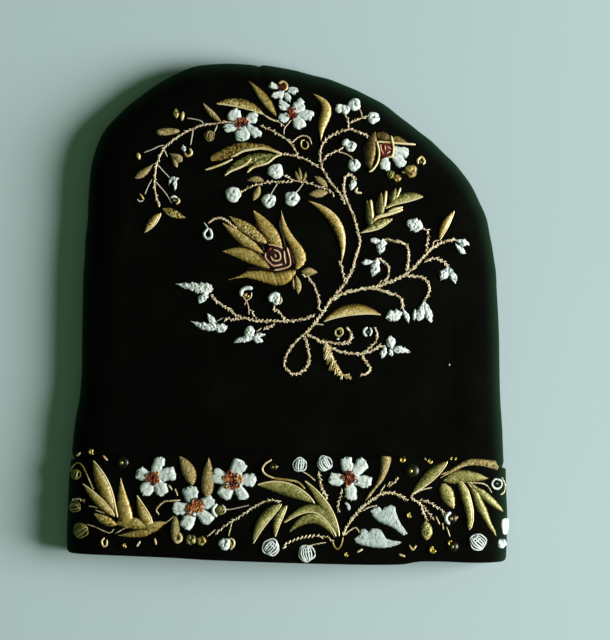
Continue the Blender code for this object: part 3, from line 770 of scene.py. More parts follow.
def wind_ball(ball):
    """A ball of floss: lumpy with a slit, or strands wound from pole to pole inside a ring."""
    middle = np.array(ball.middle)
    way = on_circle([math.radians(ball.angle)])[0]
    side = left_of(way)
    salt = abs(ball.middle[0] * 1.7 + ball.middle[1] * 0.9) % 40
    bright = 0.9 if ball.finish == "white" else 0.58
    wobble = 1 + 0.05 * np.sin(3 * ROUND_TURN + salt) + 0.04 * np.sin(5 * ROUND_TURN + 2 * salt)
    circle = on_circle(ROUND_TURN) * wobble[:, None]
    if ball.slit is not None:
        lump_ball(ball, circle, way, side, salt, bright)
        return
    run_cord(ball.piece, middle + (ball.radius - 0.5) * circle, BALL_STRAND, ball.finish, twist=0.3,
             tone=bright, lift=0.5)
    count = max(round(2 * ball.radius / WINDING_PITCH), 2)
    run = np.linspace(-1, 1, 13)
    for index in range(count):
        off = ((index + 0.5) / count * 2 - 1) * 0.85 + random.uniform(-0.06, 0.06)
        reach = (ball.radius - 0.55) * random.uniform(0.72, 1)
        bow = (ball.radius - 0.7) * off * np.sqrt(1 - (0.86 * run) ** 2) + 0.35 * np.sin(2 * run + salt)
        line = middle + way * (run * reach)[:, None] + side * bow[:, None]
        lifts = BALL_HEIGHT * np.sqrt(1 - (run * 0.9) ** 2) * math.sqrt(1 - (0.8 * off) ** 2) + 0.2
        run_cord(ball.piece, line, random.uniform(0.75, 1.05), ball.finish, twist=0.2,
                 tone=bright + random.uniform(-0.15, 0.1), lift=lifts, taper=0.9)
    for index in range(2 if ball.finish == "white" else 0):
        start = middle + way * ball.radius * (0.2 + 0.35 * index) - side * ball.radius * 0.45
        run_cord(ball.piece, through([start, start + side * ball.radius * 0.8]), BALL_STRAND, ball.finish,
                 twist=0.2, tone=bright, lift=1.5 - 0.3 * index, taper=0.9)


def hash_one(value, salt):
    return float(hashed(np.array(float(value)), salt))


def curl_knots(heart):
    """Curled knot stitches heaped in a flower's centre."""
    across, up = heart.middle
    for index in range(int(heart.knots * 1.5)):
        out = heart.radius * math.sqrt(hash_one(index + 7, up)) * 0.95
        start = np.array(heart.middle) + out * on_circle([2 * math.pi * hash_one(index, across)])[0]
        sweep = 2 * math.pi * hash_one(index + 13, across) + np.linspace(0, 3.4, 9)
        thread = heart.threads[index % len(heart.threads)]
        run_cord(heart.piece, start + heart.radius * 0.24 * on_circle(sweep), 0.68, thread, twist=0.4,
                 tone=0.3 + 0.6 * hash_one(index + 3, up), lift=1.1 + 0.5 * hash_one(index, up), taper=0.7,
                 sides=6)


def dome_of(name, middle, wide, tall, thickness, finish, tone=0.4, turned=0):
    """A low dome."""
    spin = math.radians(turned)
    shares = np.array(DOME_SHARES)[:, None]
    x, y = (size / 2 * shares * one for size, one in zip((wide, tall), on_circle(DOME_TURN).T))
    places = np.stack((middle[0] + x * math.cos(spin) - y * math.sin(spin),
                       middle[1] + x * math.sin(spin) + y * math.cos(spin)), axis=-1)
    lifts = np.repeat(thickness * np.sqrt(1 - shares ** 2.2), len(DOME_TURN), axis=1)
    lifts[0] = RIM_LIFT
    piece(name).sweep(lay(places, lifts)[0], (tone, 0, 0), finish)


def sequin(name, middle, size, turned):
    """A little brass ring bent open, with a boss in it."""
    turn = math.radians(turned) + np.linspace(0.4, 5.4, 14)
    run_cord(name, np.array(middle) + size * 0.3 * on_circle(turn), max(size * 0.34, 0.9), "brass",
             twist=0.6, tone=0.8, taper=0.5)
    dome_of(name, middle, size * 0.4, size * 0.4, 0.5, "brass")


def bead(name, middle, size):
    """A dark glass bead with a bright brass crescent on its left: partly the gilt foil in it, partly a
    painted glint.
    """
    dome_of(name, middle, size, size, 1.5, "glass")
    foil_and_painted_glint = on_circle(np.linspace(2.3, 4.2, 9)) * (0.7, 1.2)
    run_cord(name, np.array(middle) + size * 0.15 * foil_and_painted_glint, size * 0.32, "brass", twist=0.4, lift=1.25,
             taper=1)


def feather(name, line, reach, count):
    """A feathered leaf: slanted strands along a bright cord, long on one side and short on the other."""
    spine = through(line)
    run_cord(name, spine, 1.2, "bright", twist=0.6, tone=0.8)
    for index in range(count):
        share = (index + 0.5) / count
        place = int(share * (len(spine) - 2))
        way = spine[place + 1] - spine[place]
        way /= np.hypot(*way)
        hand = 1 if index % 3 else -1
        side = np.array((way[1], -way[0])) * hand
        long = (reach if hand > 0 else 1.3) * (0.55 + 0.45 * math.sin(math.pi * min(share + 0.25, 1)))
        long *= random.uniform(0.7, 1.2)
        end = spine[place] + side * long + way * long * random.uniform(0.6, 1.3)
        shade = random.uniform(0.35, 1.0)
        run_cord(name, np.linspace(spine[place], end, 8), random.uniform(0.6, 0.9),
                 random.choice(("cord", "gold")), twist=0.5, tone=shade, lift=random.uniform(0.45, 0.9),
                 taper=1.0, sides=6)


# The velvet

Column = namedtuple("Column", "reach direction root_up up_at")


def skin(column, angle, inward, face, depth_at, seam_gap):
    """Points of the cap's skin along one column: face is 1 for the front and -1 for the back."""
    turn = np.radians(angle)
    roll = FRONT_ROLL if face > 0 else BACK_ROLL
    rise = (FRONT_RISE if face > 0 else SEAM_HEIGHT) - seam_gap / 2
    dome = FRONT_DOME if face > 0 else 0.0
    out = (column.reach - roll * (1 - np.cos(turn))) - (column.reach - roll) * inward
    across = column.direction[0] * out
    up = column.up_at(across) if column.up_at else column.root_up + column.direction[1] * out
    height = SEAM_HEIGHT + face * (seam_gap / 2 + rise * np.sin(turn)) + dome * (1 - (1 - inward) ** 2)
    if face > 0:
        height = height + slack(across, up) * np.sin(turn)
    flat, steep = rise * np.cos(turn), roll * np.sin(turn)
    size = np.hypot(flat, steep)
    depth = depth_at(across, up)
    across = across - depth * column.direction[0] * flat / size
    up = up - depth * column.direction[1] * flat / size
    height = height - depth * face * steep / size
    return np.stack((across - CHART_MIDDLE_ACROSS, up - CHART_MIDDLE_UP, height), axis=-1) * MM


PAINTED_SHEEN_TURN = 48  # how far over the rolled edge the painted sheen reaches, as an angle of the roll
CROWN_FOLD = 0.9  # the radius of the crown panels' folded edges
BAND_NEAR_EDGE = [0, 0.06, 0.2, 0.45, 0.8, 1.4]  # where the band's rings lie near its edges


def shade_with_painted_sheen(turns):
    """Shades of the velvet's points, with how much painted sheen each has over the rolled edges."""
    return np.column_stack((np.full(len(turns), 0.5), ease(1 - turns / PAINTED_SHEEN_TURN), np.zeros(len(turns))))


def folded_in(distance, radius):
    """How far a rounded edge lies in from the cloth's face, at a distance from that edge."""
    near = np.clip(radius - distance, 0, radius)
    return radius - np.sqrt(radius**2 - near**2)


CROWN_COLUMNS_LOW = np.concatenate((np.linspace(47.6, 54.6, 6), np.linspace(55.8, 61, 9),
                                    np.linspace(63, 148, 44)))
ARCH_TURNS = np.linspace(0, math.pi, 161)


def crown_columns():
    def side_column(side, level):
        fade = min((POLE_UP - level) / (POLE_UP - BAND_TOP), 1.0)

        def up_at(across):
            return level + fade * (band_edge_up(across) - BAND_TOP)

        return Column(float(side_reach(side, up_at(side * BAND_HALF_WIDTH))), (side, 0.0), level, up_at)

    columns = [side_column(1, level) for level in CROWN_COLUMNS_LOW]
    columns += [Column(float(arch_reach(angle)), (math.cos(angle), math.sin(angle)), POLE_UP, None)
                for angle in ARCH_TURNS]
    return columns + [side_column(-1, level) for level in CROWN_COLUMNS_LOW[::-1]]


def crown_panel(name, face):
    """One velvet panel of the crown with its lining, from the seam to the spine."""
    roll_turns = np.concatenate(([0, 1.2, 3], np.linspace(6, 90, 29)))
    inward = np.linspace(0, 1, 28)[1:-1]
    turns = np.concatenate((roll_turns, np.full(len(inward), 90.0)))
    share = np.concatenate((np.zeros(len(roll_turns)), inward))
    fold = folded_in(np.radians(turns) * FRONT_RISE, CROWN_FOLD)
    columns = crown_columns()
    item = piece(name)
    rims = []

    def column_points(column, column_turns, column_share, depth):
        def depth_at(across, up):
            return crown_depth(across, up) + depth

        return skin(column, column_turns, column_share, face, depth_at, GAP)

    for finish, depth in (("velvet", fold), ("lining", CROWN_WALL - fold)):
        rows = np.array([column_points(column, turns, share, depth) for column in columns])
        spine = {column.root_up: column_points(column, np.array([90.0]), np.ones(1), depth[-1])[0]
                 for column in columns}
        # the velvet's points carry their share of painted sheen over the rolled edges
        start = item.add_points(rows, shade_with_painted_sheen(turns))
        spine_start = item.add_points(np.array(list(spine.values())), (0.5, 0, 0))
        ups = list(spine)
        tips = [spine_start + ups.index(column.root_up) for column in columns]
        grid = start + np.arange(rows.shape[0] * rows.shape[1]).reshape(rows.shape[:2])
        grid = np.column_stack((grid, tips))
        quads = np.stack((grid[:-1, :-1], grid[1:, :-1], grid[1:, 1:], grid[:-1, 1:]), axis=-1)
        faces = [quad[:3] if quad[2] == quad[3] else quad for quad in quads.reshape(-1, 4).tolist()]
        inside_out = (finish == "lining") != (face < 0)
        item.add_faces([quad[::-1] for quad in faces] if inside_out else faces, finish)
        rims.append(np.concatenate((grid[:, 0], grid[-1, 1:], grid[0, -2:0:-1])))
    outer, inner = rims
    walls = np.stack((np.roll(outer, 1), np.roll(inner, 1), inner, outer), axis=-1)
    item.add_faces((walls[:, ::-1] if face > 0 else walls).tolist(), "velvet")


def band_ring(name):
    """The band: a ring strip round the mouth, folded over at both edges."""
    front_turns = np.concatenate((np.linspace(0, 90, 26), np.full(30, 90.0)))
    front_share = np.concatenate((np.zeros(26), np.linspace(0, 1, 31)[1:]))
    back_turns = np.concatenate((np.linspace(0, 90, 20), np.full(20, 90.0)))
    back_share = np.concatenate((np.zeros(20), np.linspace(0, 1, 21)[1:]))
    runs = [(1, 1, front_turns[:-1], front_share[:-1]), (-1, 1, front_turns[::-1], front_share[::-1]),
            (-1, -1, back_turns[1:-1], back_share[1:-1]), (1, -1, back_turns[:0:-1], back_share[:0:-1])]
    all_turns = np.concatenate([turns for _, _, turns, _ in runs])
    height = BAND_TOP - HEM[0][1]
    near = np.array(BAND_NEAR_EDGE) / height
    item = piece(name)
    grids = []
    for finish in ("velvet", "lining"):
        rings = []
        for share in np.concatenate((near, np.linspace(0.05, 0.95, 26), 1 - near[::-1])):
            fold = folded_in(min(share, 1 - share) * height, BAND_WALL / 2)
            depth = fold if finish == "velvet" else BAND_WALL - fold
            below_corner = max(HEM_CORNER - share * height, 0)
            corner = HEM_CORNER - math.sqrt(HEM_CORNER**2 - below_corner**2)

            def up_at(across, share=share):
                return hem_up(across) * (1 - share) + band_edge_up(across) * share

            ring = []
            for side, face, turns, inward in runs:
                reach = float(side_reach(side, up_at(side * BAND_HALF_WIDTH))) - corner
                column = Column(reach, (side, 0), 0, up_at)
                ring.append(skin(column, turns, inward, face, lambda across, up: 0 * across + depth, 0))
            rings.append(np.concatenate(ring))
        # the band's points carry their share of painted sheen over its rolled edges
        start = item.add_points(np.array(rings), shade_with_painted_sheen(all_turns))
        grid = start + np.arange(len(rings) * len(rings[0])).reshape(len(rings), -1)
        quads = between_rings(grid)[:, [0, 3, 2, 1]]
        item.add_faces((quads[:, ::-1] if finish == "lining" else quads).tolist(), finish)
        grids.append(grid)
    for row, way in ((0, 1), (-1, -1)):
        outside, inside = grids[0][row], grids[1][row]
        walls = np.stack((outside, np.roll(outside, -1), np.roll(inside, -1), inside), axis=-1)
        item.add_faces(walls[:, ::way].tolist(), "velvet")


# The embroidery's tables

L, R, N = "left", "right", ""  # the side of a leaf that has a bright cord, or none
CROWN, BAND = "crown_small_leaves", "band_small_leaves"

# The leaves large enough to be solids of the part, then the small ones
LEAVES = [Worked(*row) for row in (
    ("crown_leaf_summit", "gold", "satin", (-10.6, 239.6), (-25.9, 258.6), -0.8, 4.8, 0.45, 1, 0.5),
    ("crown_leaf_high_left", "gold", "knots", (-17.4, 240.6), (-43.5, 246.1), -3.2, 5.2, 0.5, 0.8, 0.6, L),
    ("crown_leaf_high_right", "gold", "satin", (13.9, 226.6), (9.2, 252.4), -4.3, 5.8, 0.55, 0.9, -0.8, N,
        2),
    ("crown_leaf_crescent", "gold", "satin", (26, 159.5), (7.7, 194), -7.8, 5.8, 0.55, 0.9, -0.8),
    ("crown_leaf_low_right", "gold", "satin", (17.2, 128.6), (48.2, 133), 4.6, 6.4, 0.5, 0.9, -0.9, R),
    ("crown_leaf_right_tip", "gold", "satin", (79.4, 174), (87.2, 190.3), 1.2, 4.4, 0.5, 0.9, -0.9, R),
    ("crown_leaf_end_right", "gold", "knots", (-71.6, 188.4), (-58.8, 183.6), -0.4, 4.6, 0.42, 0.9, -0.6),
    ("crown_leaf_end_left", "gold", "knots", (-72.4, 185.9), (-81.1, 175.2), -0.6, 4.8, 0.48, 0.9, 0.9, L),
    ("crown_leaf_far_left", "tan", "satin", (-77, 212.6), (-87, 204.6), 0.4, 4.2, 0.62, 0.7, 0.2),
    ("crown_leaf_great_lower", "olive", "knots", (-9, 218.6), (-38, 207.6), -3, 5.6, 0.55, 0.8, 0.3, N, 0,
        0.12),
    ("crown_leaf_fern_upper", "olive", "satin", (49.8, 190.8), (70, 197.8), 2.4, 5.4, 0.58, 0.8, -0.6, R),
    ("crown_leaf_fern_lower", "olive", "knots", (36.4, 177.3), (53.4, 185.3), 0.2, 4.8, 0.55, 0.9, -0.7, R),
    ("tulip_petal_first", "gold", "knots", (-14.4, 170.4), (-35.4, 184.9), 0, 7, 0.42, 0.9, 0.1),
    ("tulip_petal_second", "gold", "satin", (-16, 164.8), (-38.6, 181), 0.5, 6.2, 0.45, 0.9, -0.3),
    ("tulip_petal_third", "gold", "satin", (-12.6, 156.9), (-38.4, 165.6), -2.6, 7.6, 0.45, 0.8, -0.1),
    ("tulip_petal_fourth", "gold", "satin", (-6.2, 167.6), (-22.1, 188.2), 0.2, 8, 0.42, 0.8, -0.2),
    ("band_leaf_outer_left", "gold", "satin", (-92.6, 19.6), (-106.6, 50.2), 0.4, 7.4, 0.55, 0.9, -0.9, R),
    ("band_leaf_middle_left", "olive", "satin", (14.3, 29.6), (-16.8, 39), -2.7, 7.4, 0.5, 0.8, -0.4, R),
    ("band_leaf_arched", "olive", "satin", (25.6, 11.4), (1.1, 13.8), -8.8, 5.8, 0.5, 0.8, -0.5),
    ("band_leaf_tan", "tan", "chenille", (-52.3, 38.2), (-59.7, 53.6), -1.3, 7.2, 0.42, 0.8),
)]
SMALL_LEAVES = listed(Worked, [
    (CROWN, [
        ("olive", "knots", (-8, 218.2), (-25.8, 209.4), -2, 4.6, 0.5, 0.9, 0.3, N, 0, 0.1),
        ("tan", "satin", (4.6, 155.4), (13.4, 155.2), 0.2, 4.4, 0.45, 0.9, 0.3),
        ("tan", "satin", (1.8, 153.2), (3, 143.2), 0.6, 3.6, 0.55, 0.8, 0.3),
        ("tan", "satin", (0.4, 151.8), (1, 145.7), -0.3, 1.4, 0.5, 0.8),
        ("tan", "chenille", (-25.6, 204.4), (-16.6, 204.2), 0.9, 3.4, 0.5, 0.8, 0.2),
        ("tan", "satin", (-19.2, 201.8), (-22.4, 193.6), 0.4, 3.8, 0.5, 0.8, 0.3),
        ("tan", "satin", (18, 201.5), (10.6, 207.4), -0.4, 3.6, 0.5, 0.8, 0.2),
        ("tan", "satin", (18.2, 198.9), (8, 197.6), 0, 4.6, 0.5, 0.7, 0.2),
        ("tan", "satin", (3.5, 204), (0.4, 210), 0.4, 2, 0.5, 0.8, 0.2),
        ("tan", "satin", (3.7, 204.4), (2.3, 212), 0, 1.9, 0.5, 0.8, 0.2),
        ("tan", "satin", (4, 204), (6, 209.6), -0.4, 1.8, 0.5, 0.8, 0.2),
        ("tan", "chenille", (-40.6, 236), (-50.8, 246.2), 0.6, 3.2, 0.45, 0.8, -0.3),
        ("gold", "knots", (-65, 237.8), (-65.6, 242.8), 0, 3.4, 0.5, 0.6),
        ("cord", "satin", (-62.1, 236.4), (-61.5, 241.4), 0, 2.2, 0.5, 0.4, 0.2),
        ("tan", "chenille", (-63.2, 230.8), (-76, 229.8), 0, 4, 0.6, 0.35, 0.1),
        ("tan", "satin", (-68.2, 218.3), (-61.4, 214.2), 0.2, 4.4, 0.66, 0.7, 0.2),
        ("tan", "satin", (-67.4, 217), (-64.2, 210.8), 0.2, 2.6, 0.66, 0.7, 0.2),
        ("gold", "satin", (-85.9, 218.4), (-84.8, 214.6), 0, 2.6, 0.45, 0.6, 0.3),
        ("gold", "satin", (-84.2, 196.2), (-81.8, 192.8), 0, 1.5, 0.5, 0.6, 0.3),
        ("olive", "satin", (41.4, 180.4), (39.4, 195), -0.6, 5.4, 0.4, 0.8, -0.9, N, 0, 0.3),
        ("olive", "satin", (47, 186), (47.2, 199.6), 0.2, 5.2, 0.4, 0.8, -0.9, N, 0, 0.3),
        ("olive", "satin", (53, 194), (55.2, 202), 0.4, 4.2, 0.4, 0.8, -0.8, N, 0, 0.3),
        ("gold", "satin", (41, 210.8), (43.4, 232.4), 1.6, 7.2, 0.52, 0.7, -0.9, N, 0, 0.46),
        ("gold", "bars", (52.4, 227.8), (43.8, 230.6), -0.8, 4.8, 0.6, 0.5, 0, N, 0, 0.34),
        ("gold", "bars", (61.4, 226.6), (52.6, 229), -0.4, 3.6, 0.7, 0.5, 0, N, 0, 0.28),
    ]),
    (BAND, [
        ("gold", "satin", (-94.5, 20), (-112, 37.4), 0.4, 4.8, 0.42, 0.9, -0.6, R),
        ("gold", "knots", (-93.2, 15.5), (-105.6, 21.4), 0.6, 5, 0.45, 0.7, -0.2),
        ("gold", "satin", (-87.2, 13.8), (-91.4, 41), 0.5, 8.2, 0.24, 0.9, -0.5),
        ("gold", "satin", (-75.2, 14), (-93.8, 16), -1.6, 6.4, 0.5, 0.7, -0.4),
        ("gold", "satin", (-74.8, 14.6), (-82.4, 31.9), 0.6, 6.4, 0.3, 0.9, -0.6, R),
        ("gold", "satin", (-76.6, 12.6), (-66, 17.6), 0.5, 5.8, 0.3, 0.8, 0.5),
        ("gold", "bars", (-73.6, 12.2), (-92.2, 9.8), 0.2, 4.2, 0.35, 0.9, -0.3),
        ("tan", "chenille", (-43.9, 32), (-43.6, 53), 0.2, 6.8, 0.36, 0.7, 0.1),
        ("tan", "chenille", (-61.4, 7.2), (-61.2, 20.8), -0.2, 4.8, 0.48, 0.5, 0.1),
        ("olive", "satin", (-3.6, 29.2), (-18.5, 7.2), -3, 6, 0.42, 0.8, 0.7, L),
        ("olive", "satin", (-0.9, 28.2), (-6.7, 11), -1.9, 4.6, 0.42, 0.8, 0.7, L),
        ("olive", "satin", (26.6, 12), (-2, 19), -11.6, 4.8, 0.5, 0.7, 0.6, L),
        ("olive", "satin", (28, 12), (8.8, 41.7), -2.1, 4.8, 0.45, 0.9, 0.4, R),
        ("olive", "satin", (67, 35.6), (86.2, 53.7), 0.8, 6.4, 0.55, 0.8, -0.6, R, 0, 0.12),
        ("olive", "knots", (75.2, 21.6), (75.8, 10.8), 0, 6.8, 0.56, 0.6, 0.3),
    ]),
])

# Shapes too irregular for a leaf's bow and belly: the left and the right edge from the base to the tip
OUTLINED = [
    edged("crown_leaf_great_upper", "gold", "knots",
          [(-8, 219.6), (-14.6, 221.3), (-19.2, 221.8), (-23, 221.3), (-28.5, 220), (-34, 217.2),
           (-40, 215), (-45.4, 214.6)],
          [(-8, 220.2), (-13.5, 223), (-17.3, 224.5), (-25, 225.3), (-29.6, 225.1), (-33.8, 224.3),
           (-39.6, 221.5), (-45, 218.4), (-46.4, 216.4)], dim=0.24),
    edged("tulip_petal_fifth", "gold", "satin",
          [(1.2, 157.2), (1.2, 159.9), (-0.4, 164.9), (-2.3, 169.5), (-5, 173.8), (-6.9, 178.8),
           (-7.2, 183.4), (-6.9, 188.3)],
          [(2.7, 156.8), (5.8, 158.8), (7.1, 161.8), (6.9, 164.9), (4.6, 169.2), (0.4, 173.8),
           (-2.7, 178.4), (-5.2, 183.4), (-6.9, 188.3)], light=-0.3),
    edged("tulip_cup", "gold", "bars",
          [(1.6, 154.4), (-1.5, 149.9), (-4.6, 148), (-9.6, 147.6), (-14.6, 148.8), (-20, 150.5),
           (-25, 151.6), (-31.2, 151), (-34.9, 150.2)],
          [(1.6, 156.2), (-1.9, 156.1), (-9.6, 154.7), (-17.3, 155.7), (-25, 155.3), (-26.2, 154.5),
           (-29.2, 152.6), (-34.9, 150.2)]),
    edged("band_leaf_upper_right", "olive", "satin",
          [(84.2, 43.5), (88, 47.4), (92.3, 49.1), (97.7, 49), (103.2, 47.7), (108.7, 45.1)],
          [(84.2, 43.1), (87, 41.9), (90.3, 41.4), (93.5, 42), (97.9, 42.4), (102.2, 43), (106.6, 43.9),
           (108.7, 44.9)], light=0.3),
    edged("band_leaf_inner_right", "olive", "satin",
          [(92.4, 45), (95.7, 41.5), (98, 38.3), (99.7, 32.9), (100.9, 27.5), (101, 22), (100, 18.1),
           (98.7, 16.8)],
          [(90.6, 45), (92.5, 39.3), (94.2, 33.8), (96, 28.4), (97.2, 23), (97.8, 18.6), (98.5, 16.8)],
          light=0.6, rim=L),
    edged("band_leaf_outer_right", "olive", "satin",
          [(98.4, 42), (103.5, 37.6), (105.7, 33), (108, 28.7), (109.7, 24.3), (111.3, 20), (113.2, 16.6),
           (113.8, 13.4)],
          [(97.6, 42), (100.3, 36.2), (101.4, 31.8), (103.1, 27.5), (105.9, 23.2), (108.7, 18.9),
           (111.5, 15.7), (113.6, 13.2)], light=0.5),
    edged(BAND, "olive", "satin",
          [(98.6, 43), (103.4, 39.7), (106.7, 38.5), (110, 35.8), (113.4, 32.6), (116.1, 29.4),
           (117.3, 27.1)],
          [(97.8, 42.4), (102.9, 36.7), (105.7, 33.5), (108.5, 31.4), (111.8, 29.3), (114.6, 27.7),
           (117.1, 26.7)], light=0.4),
    edged(BAND, "olive", "satin",
          [(85.2, 41.8), (88.1, 40.1), (89.8, 37.6), (90.7, 33.8), (90.9, 29.9), (90.2, 28.2)],
          [(83, 41.6), (81.7, 38.6), (82.3, 35), (84.2, 31.8), (87, 29.4), (90, 28.1)], light=0.5),
    edged(BAND, "tan", "chenille",
          [(41.9, 31.8), (43.5, 35.5), (46.7, 39.4), (48.8, 43.3), (49.8, 48.2), (50.2, 52.6),
           (49.6, 55.6)],
          [(41.9, 31.4), (44.6, 33.9), (47.8, 38.4), (51.5, 42.8), (53.6, 47.2), (55.4, 52.7),
           (55.6, 55.6)], light=-0.4),
    edged(BAND, "tan", "chenille",
          [(82.6, 45.1), (85.8, 47.7), (90.1, 50.9), (94.4, 53.6), (97.6, 55.2), (101.4, 55.4),
           (105.2, 55.2), (109.1, 54.9), (112.9, 54.6), (113.8, 52.2)],
          [(82.6, 44.5), (85.8, 46.2), (90.1, 48.5), (93.4, 50.2), (96.6, 51.7), (101, 52), (105.3, 51.7),
           (109.7, 50.5), (113.5, 49.5)], light=-0.2),
    edged("band_petal_upper", "white", "felt",
          [(45, 26.3), (46.9, 28), (49.3, 28.6), (51.3, 26.9), (52.3, 28.1), (55.4, 29.6), (58.3, 28.8),
           (58.7, 26), (60.1, 22.2), (61.8, 19), (64, 16.3), (65.2, 14.2)],
          [(45, 26), (45.9, 23.6), (48.1, 21.1), (50.9, 19.6), (54.7, 18.3), (58, 16.7), (61.4, 14.1),
           (63, 13), (65.1, 14)]),
    edged("band_petal_lower", "white", "felt",
          [(36.5, 11), (38.5, 12.6), (39.6, 13.6), (40, 16.2), (42.2, 16.4), (43.9, 14.8), (45.5, 16.5),
           (48.2, 16.8), (51, 15.7), (52.4, 13.3), (53.8, 11.2), (57.1, 10.2), (60.4, 10), (62, 9.5)],
          [(36.5, 10.7), (37.2, 8.7), (39.7, 7.6), (43, 6.9), (47.3, 6.2), (51.7, 6), (56.1, 6.6),
           (60.4, 8.1), (62, 9.3)]),
]

# White petals of the flowers and bells
Petal = namedtuple("Petal", "piece base tip bow width belly full")
PETALS = listed(Petal, [
    ("crown_blossom_left", [
        ((-30.6, 236.6), (-35.2, 242.4), 0.3, 6.2, 0.62, 0.45),
        ((-27.2, 236.6), (-21, 239.8), 0.2, 5, 0.6, 0.45),
        ((-31.4, 234.2), (-38.9, 232.6), 0.3, 4.2, 0.55, 0.55),
        ((-29.2, 233.4), (-29, 226.4), 0, 6.8, 0.62, 0.4),
        ((-26.4, 234), (-19.6, 228.4), 0.3, 4.2, 0.6, 0.5),
    ]),
    ("crown_blossom_top", [
        ((-4, 245.2), (-9.8, 248.4), 0.2, 2.6, 0.5, 0.6),
        ((-4.4, 243.4), (-9.2, 245.4), 0.2, 2, 0.5, 0.6),
        ((-4.2, 241), (-9, 238.2), 0.2, 4.8, 0.6, 0.5),
        ((-1.4, 242.6), (4.2, 247.4), 0.2, 5.8, 0.62, 0.42),
        ((1, 241.2), (9.6, 240.2), 0.2, 4.8, 0.66, 0.45),
        ((0, 239.4), (2.8, 233.4), 0.2, 5.6, 0.55, 0.5),
    ]),
    ("crown_half_flower", [
        ((-10.6, 255.4), (-14.8, 257.2), 0, 3.2, 0.5, 0.6),
        ((-4.6, 254.4), (0.8, 253), 0.2, 3.8, 0.55, 0.5),
        ((-6.8, 253.2), (-13.4, 250.8), 0.2, 3.2, 0.6, 0.6),
        ((-6.2, 252.8), (-3.4, 248.2), 0, 2.8, 0.5, 0.6),
        ((-7.4, 252.8), (-9.6, 249.8), 0, 2.8, 0.5, 0.6),
    ]),
    ("crown_blossom_square", [
        ((53.8, 223.4), (61.4, 220.8), 0, 4.6, 0.62, 0.5),
        ((53.6, 219.6), (59.4, 214.4), 0, 4.8, 0.62, 0.5),
        ((53, 221.2), (56.8, 219.4), 0, 1.6, 0.5, 0.6),
        ((48.8, 218.4), (49.4, 211.4), 0, 5, 0.58, 0.5),
    ]),
    ("bell_far_left", [
        ((-43.2, 145), (-63.2, 147.5), 0.4, 5.8, 0.26, 0.75),
        ((-46.4, 144.4), (-50.4, 137.6), 0.4, 4.6, 0.55, 0.5),
    ]),
    ("bell_low_left", [
        ((-40.6, 124), (-54.6, 127.2), 0.9, 4.2, 0.36, 0.8),
        ((-42.4, 123.6), (-35.6, 125), -0.3, 5, 0.55, 0.55),
        ((-41, 127.2), (-45.8, 131.4), 0.6, 2.8, 0.5, 0.6),
        ((-40.2, 122.8), (-45.4, 128.6), 0, 2.2, 0.5, 0.5),
    ]),
    ("bell_near_loop", [
        ((-21.8, 118.2), (-30.8, 116.4), -0.6, 3.4, 0.45, 0.6),
        ((-22.4, 125.4), (-23.2, 117.6), 0, 5.4, 0.5, 0.45),
        ((-21, 119.4), (-14.8, 121.2), 0, 3, 0.55, 0.5),
        ((-21.2, 118.4), (-15.8, 117.2), 0, 3, 0.55, 0.5),
    ]),
    ("bell_right_first", [
        ((60.2, 134.2), (51.6, 131), -0.2, 6.4, 0.52, 0.55),
        ((60, 136.4), (63.4, 129.2), 0.4, 2.8, 0.6, 0.6),
    ]),
    ("bell_right_second", [
        ((71.4, 141.4), (69, 130.2), 0.2, 4.6, 0.68, 0.6),
        ((71.7, 141.4), (75.4, 129.6), 0.2, 4.6, 0.68, 0.6),
        ((66.9, 136.4), (66.5, 130.6), 0, 1.9, 0.5, 0.5),
    ]),
    ("bell_right_third", [
        ((51, 115.8), (49.4, 109.6), 0, 3.6, 0.55, 0.55),
        ((54.6, 114.8), (53.8, 121.4), 0.2, 4.8, 0.55, 0.5),
        ((55.4, 114.4), (64.4, 113), 0.2, 4.2, 0.35, 0.7),
        ((53.6, 114), (54.6, 110.2), 0, 2.8, 0.55, 0.5),
    ]),
    ("bell_right_fourth", [
        ((70.4, 180.6), (61.8, 183.6), 0.2, 6.8, 0.52, 0.5),
    ]),
    ("bell_right_fifth", [
        ((47, 173), (41.6, 173.8), 0.2, 3.2, 0.55, 0.6),
        ((48.8, 174.2), (47.6, 166.2), 0, 5, 0.5, 0.5),
    ]),
    ("bell_right_sixth", [
        ((43.4, 162), (37.2, 161.2), 0.2, 3, 0.55, 0.6),
        ((45.6, 163.6), (43.6, 153.8), 0.3, 5, 0.52, 0.6),
    ]),
    ("bell_right_seventh", [
        ((84.6, 160), (80.2, 152.6), 0.2, 5, 0.62, 0.6),
        ((85, 159.6), (88.6, 151.2), 0.2, 3.8, 0.6, 0.6),
    ]),
    ("crown_small_bells", [
        ((88.6, 174), (95.4, 171.6), 0.4, 4.2, 0.6, 0.6),
        ((88.4, 172.4), (93.4, 167.8), -0.6, 3.2, 0.6, 0.6),
        ((32.8, 206), (30.4, 199.8), 0, 4.2, 0.4, 0.8),
        ((-68, 204.9), (-62.6, 204.4), 0, 2.4, 0.5, 0.5),
        ((-67.2, 205), (-68.3, 201.2), 0, 1.7, 0.5, 0.5),
        ((-65, 204.6), (-65, 198.8), 0, 2.2, 0.5, 0.6),
        ((-60.9, 222.8), (-60.3, 220), 0, 2.8, 0.5, 0.5),
    ]),
    ("band_edge_petal", [
        ((118.6, 14.6), (118.4, 22.6), 0, 3.4, 0.5, 0.5),
        ((31.2, 30), (32.6, 26.4), 1, 1.7, 0.5, 0.5),
    ]),
])

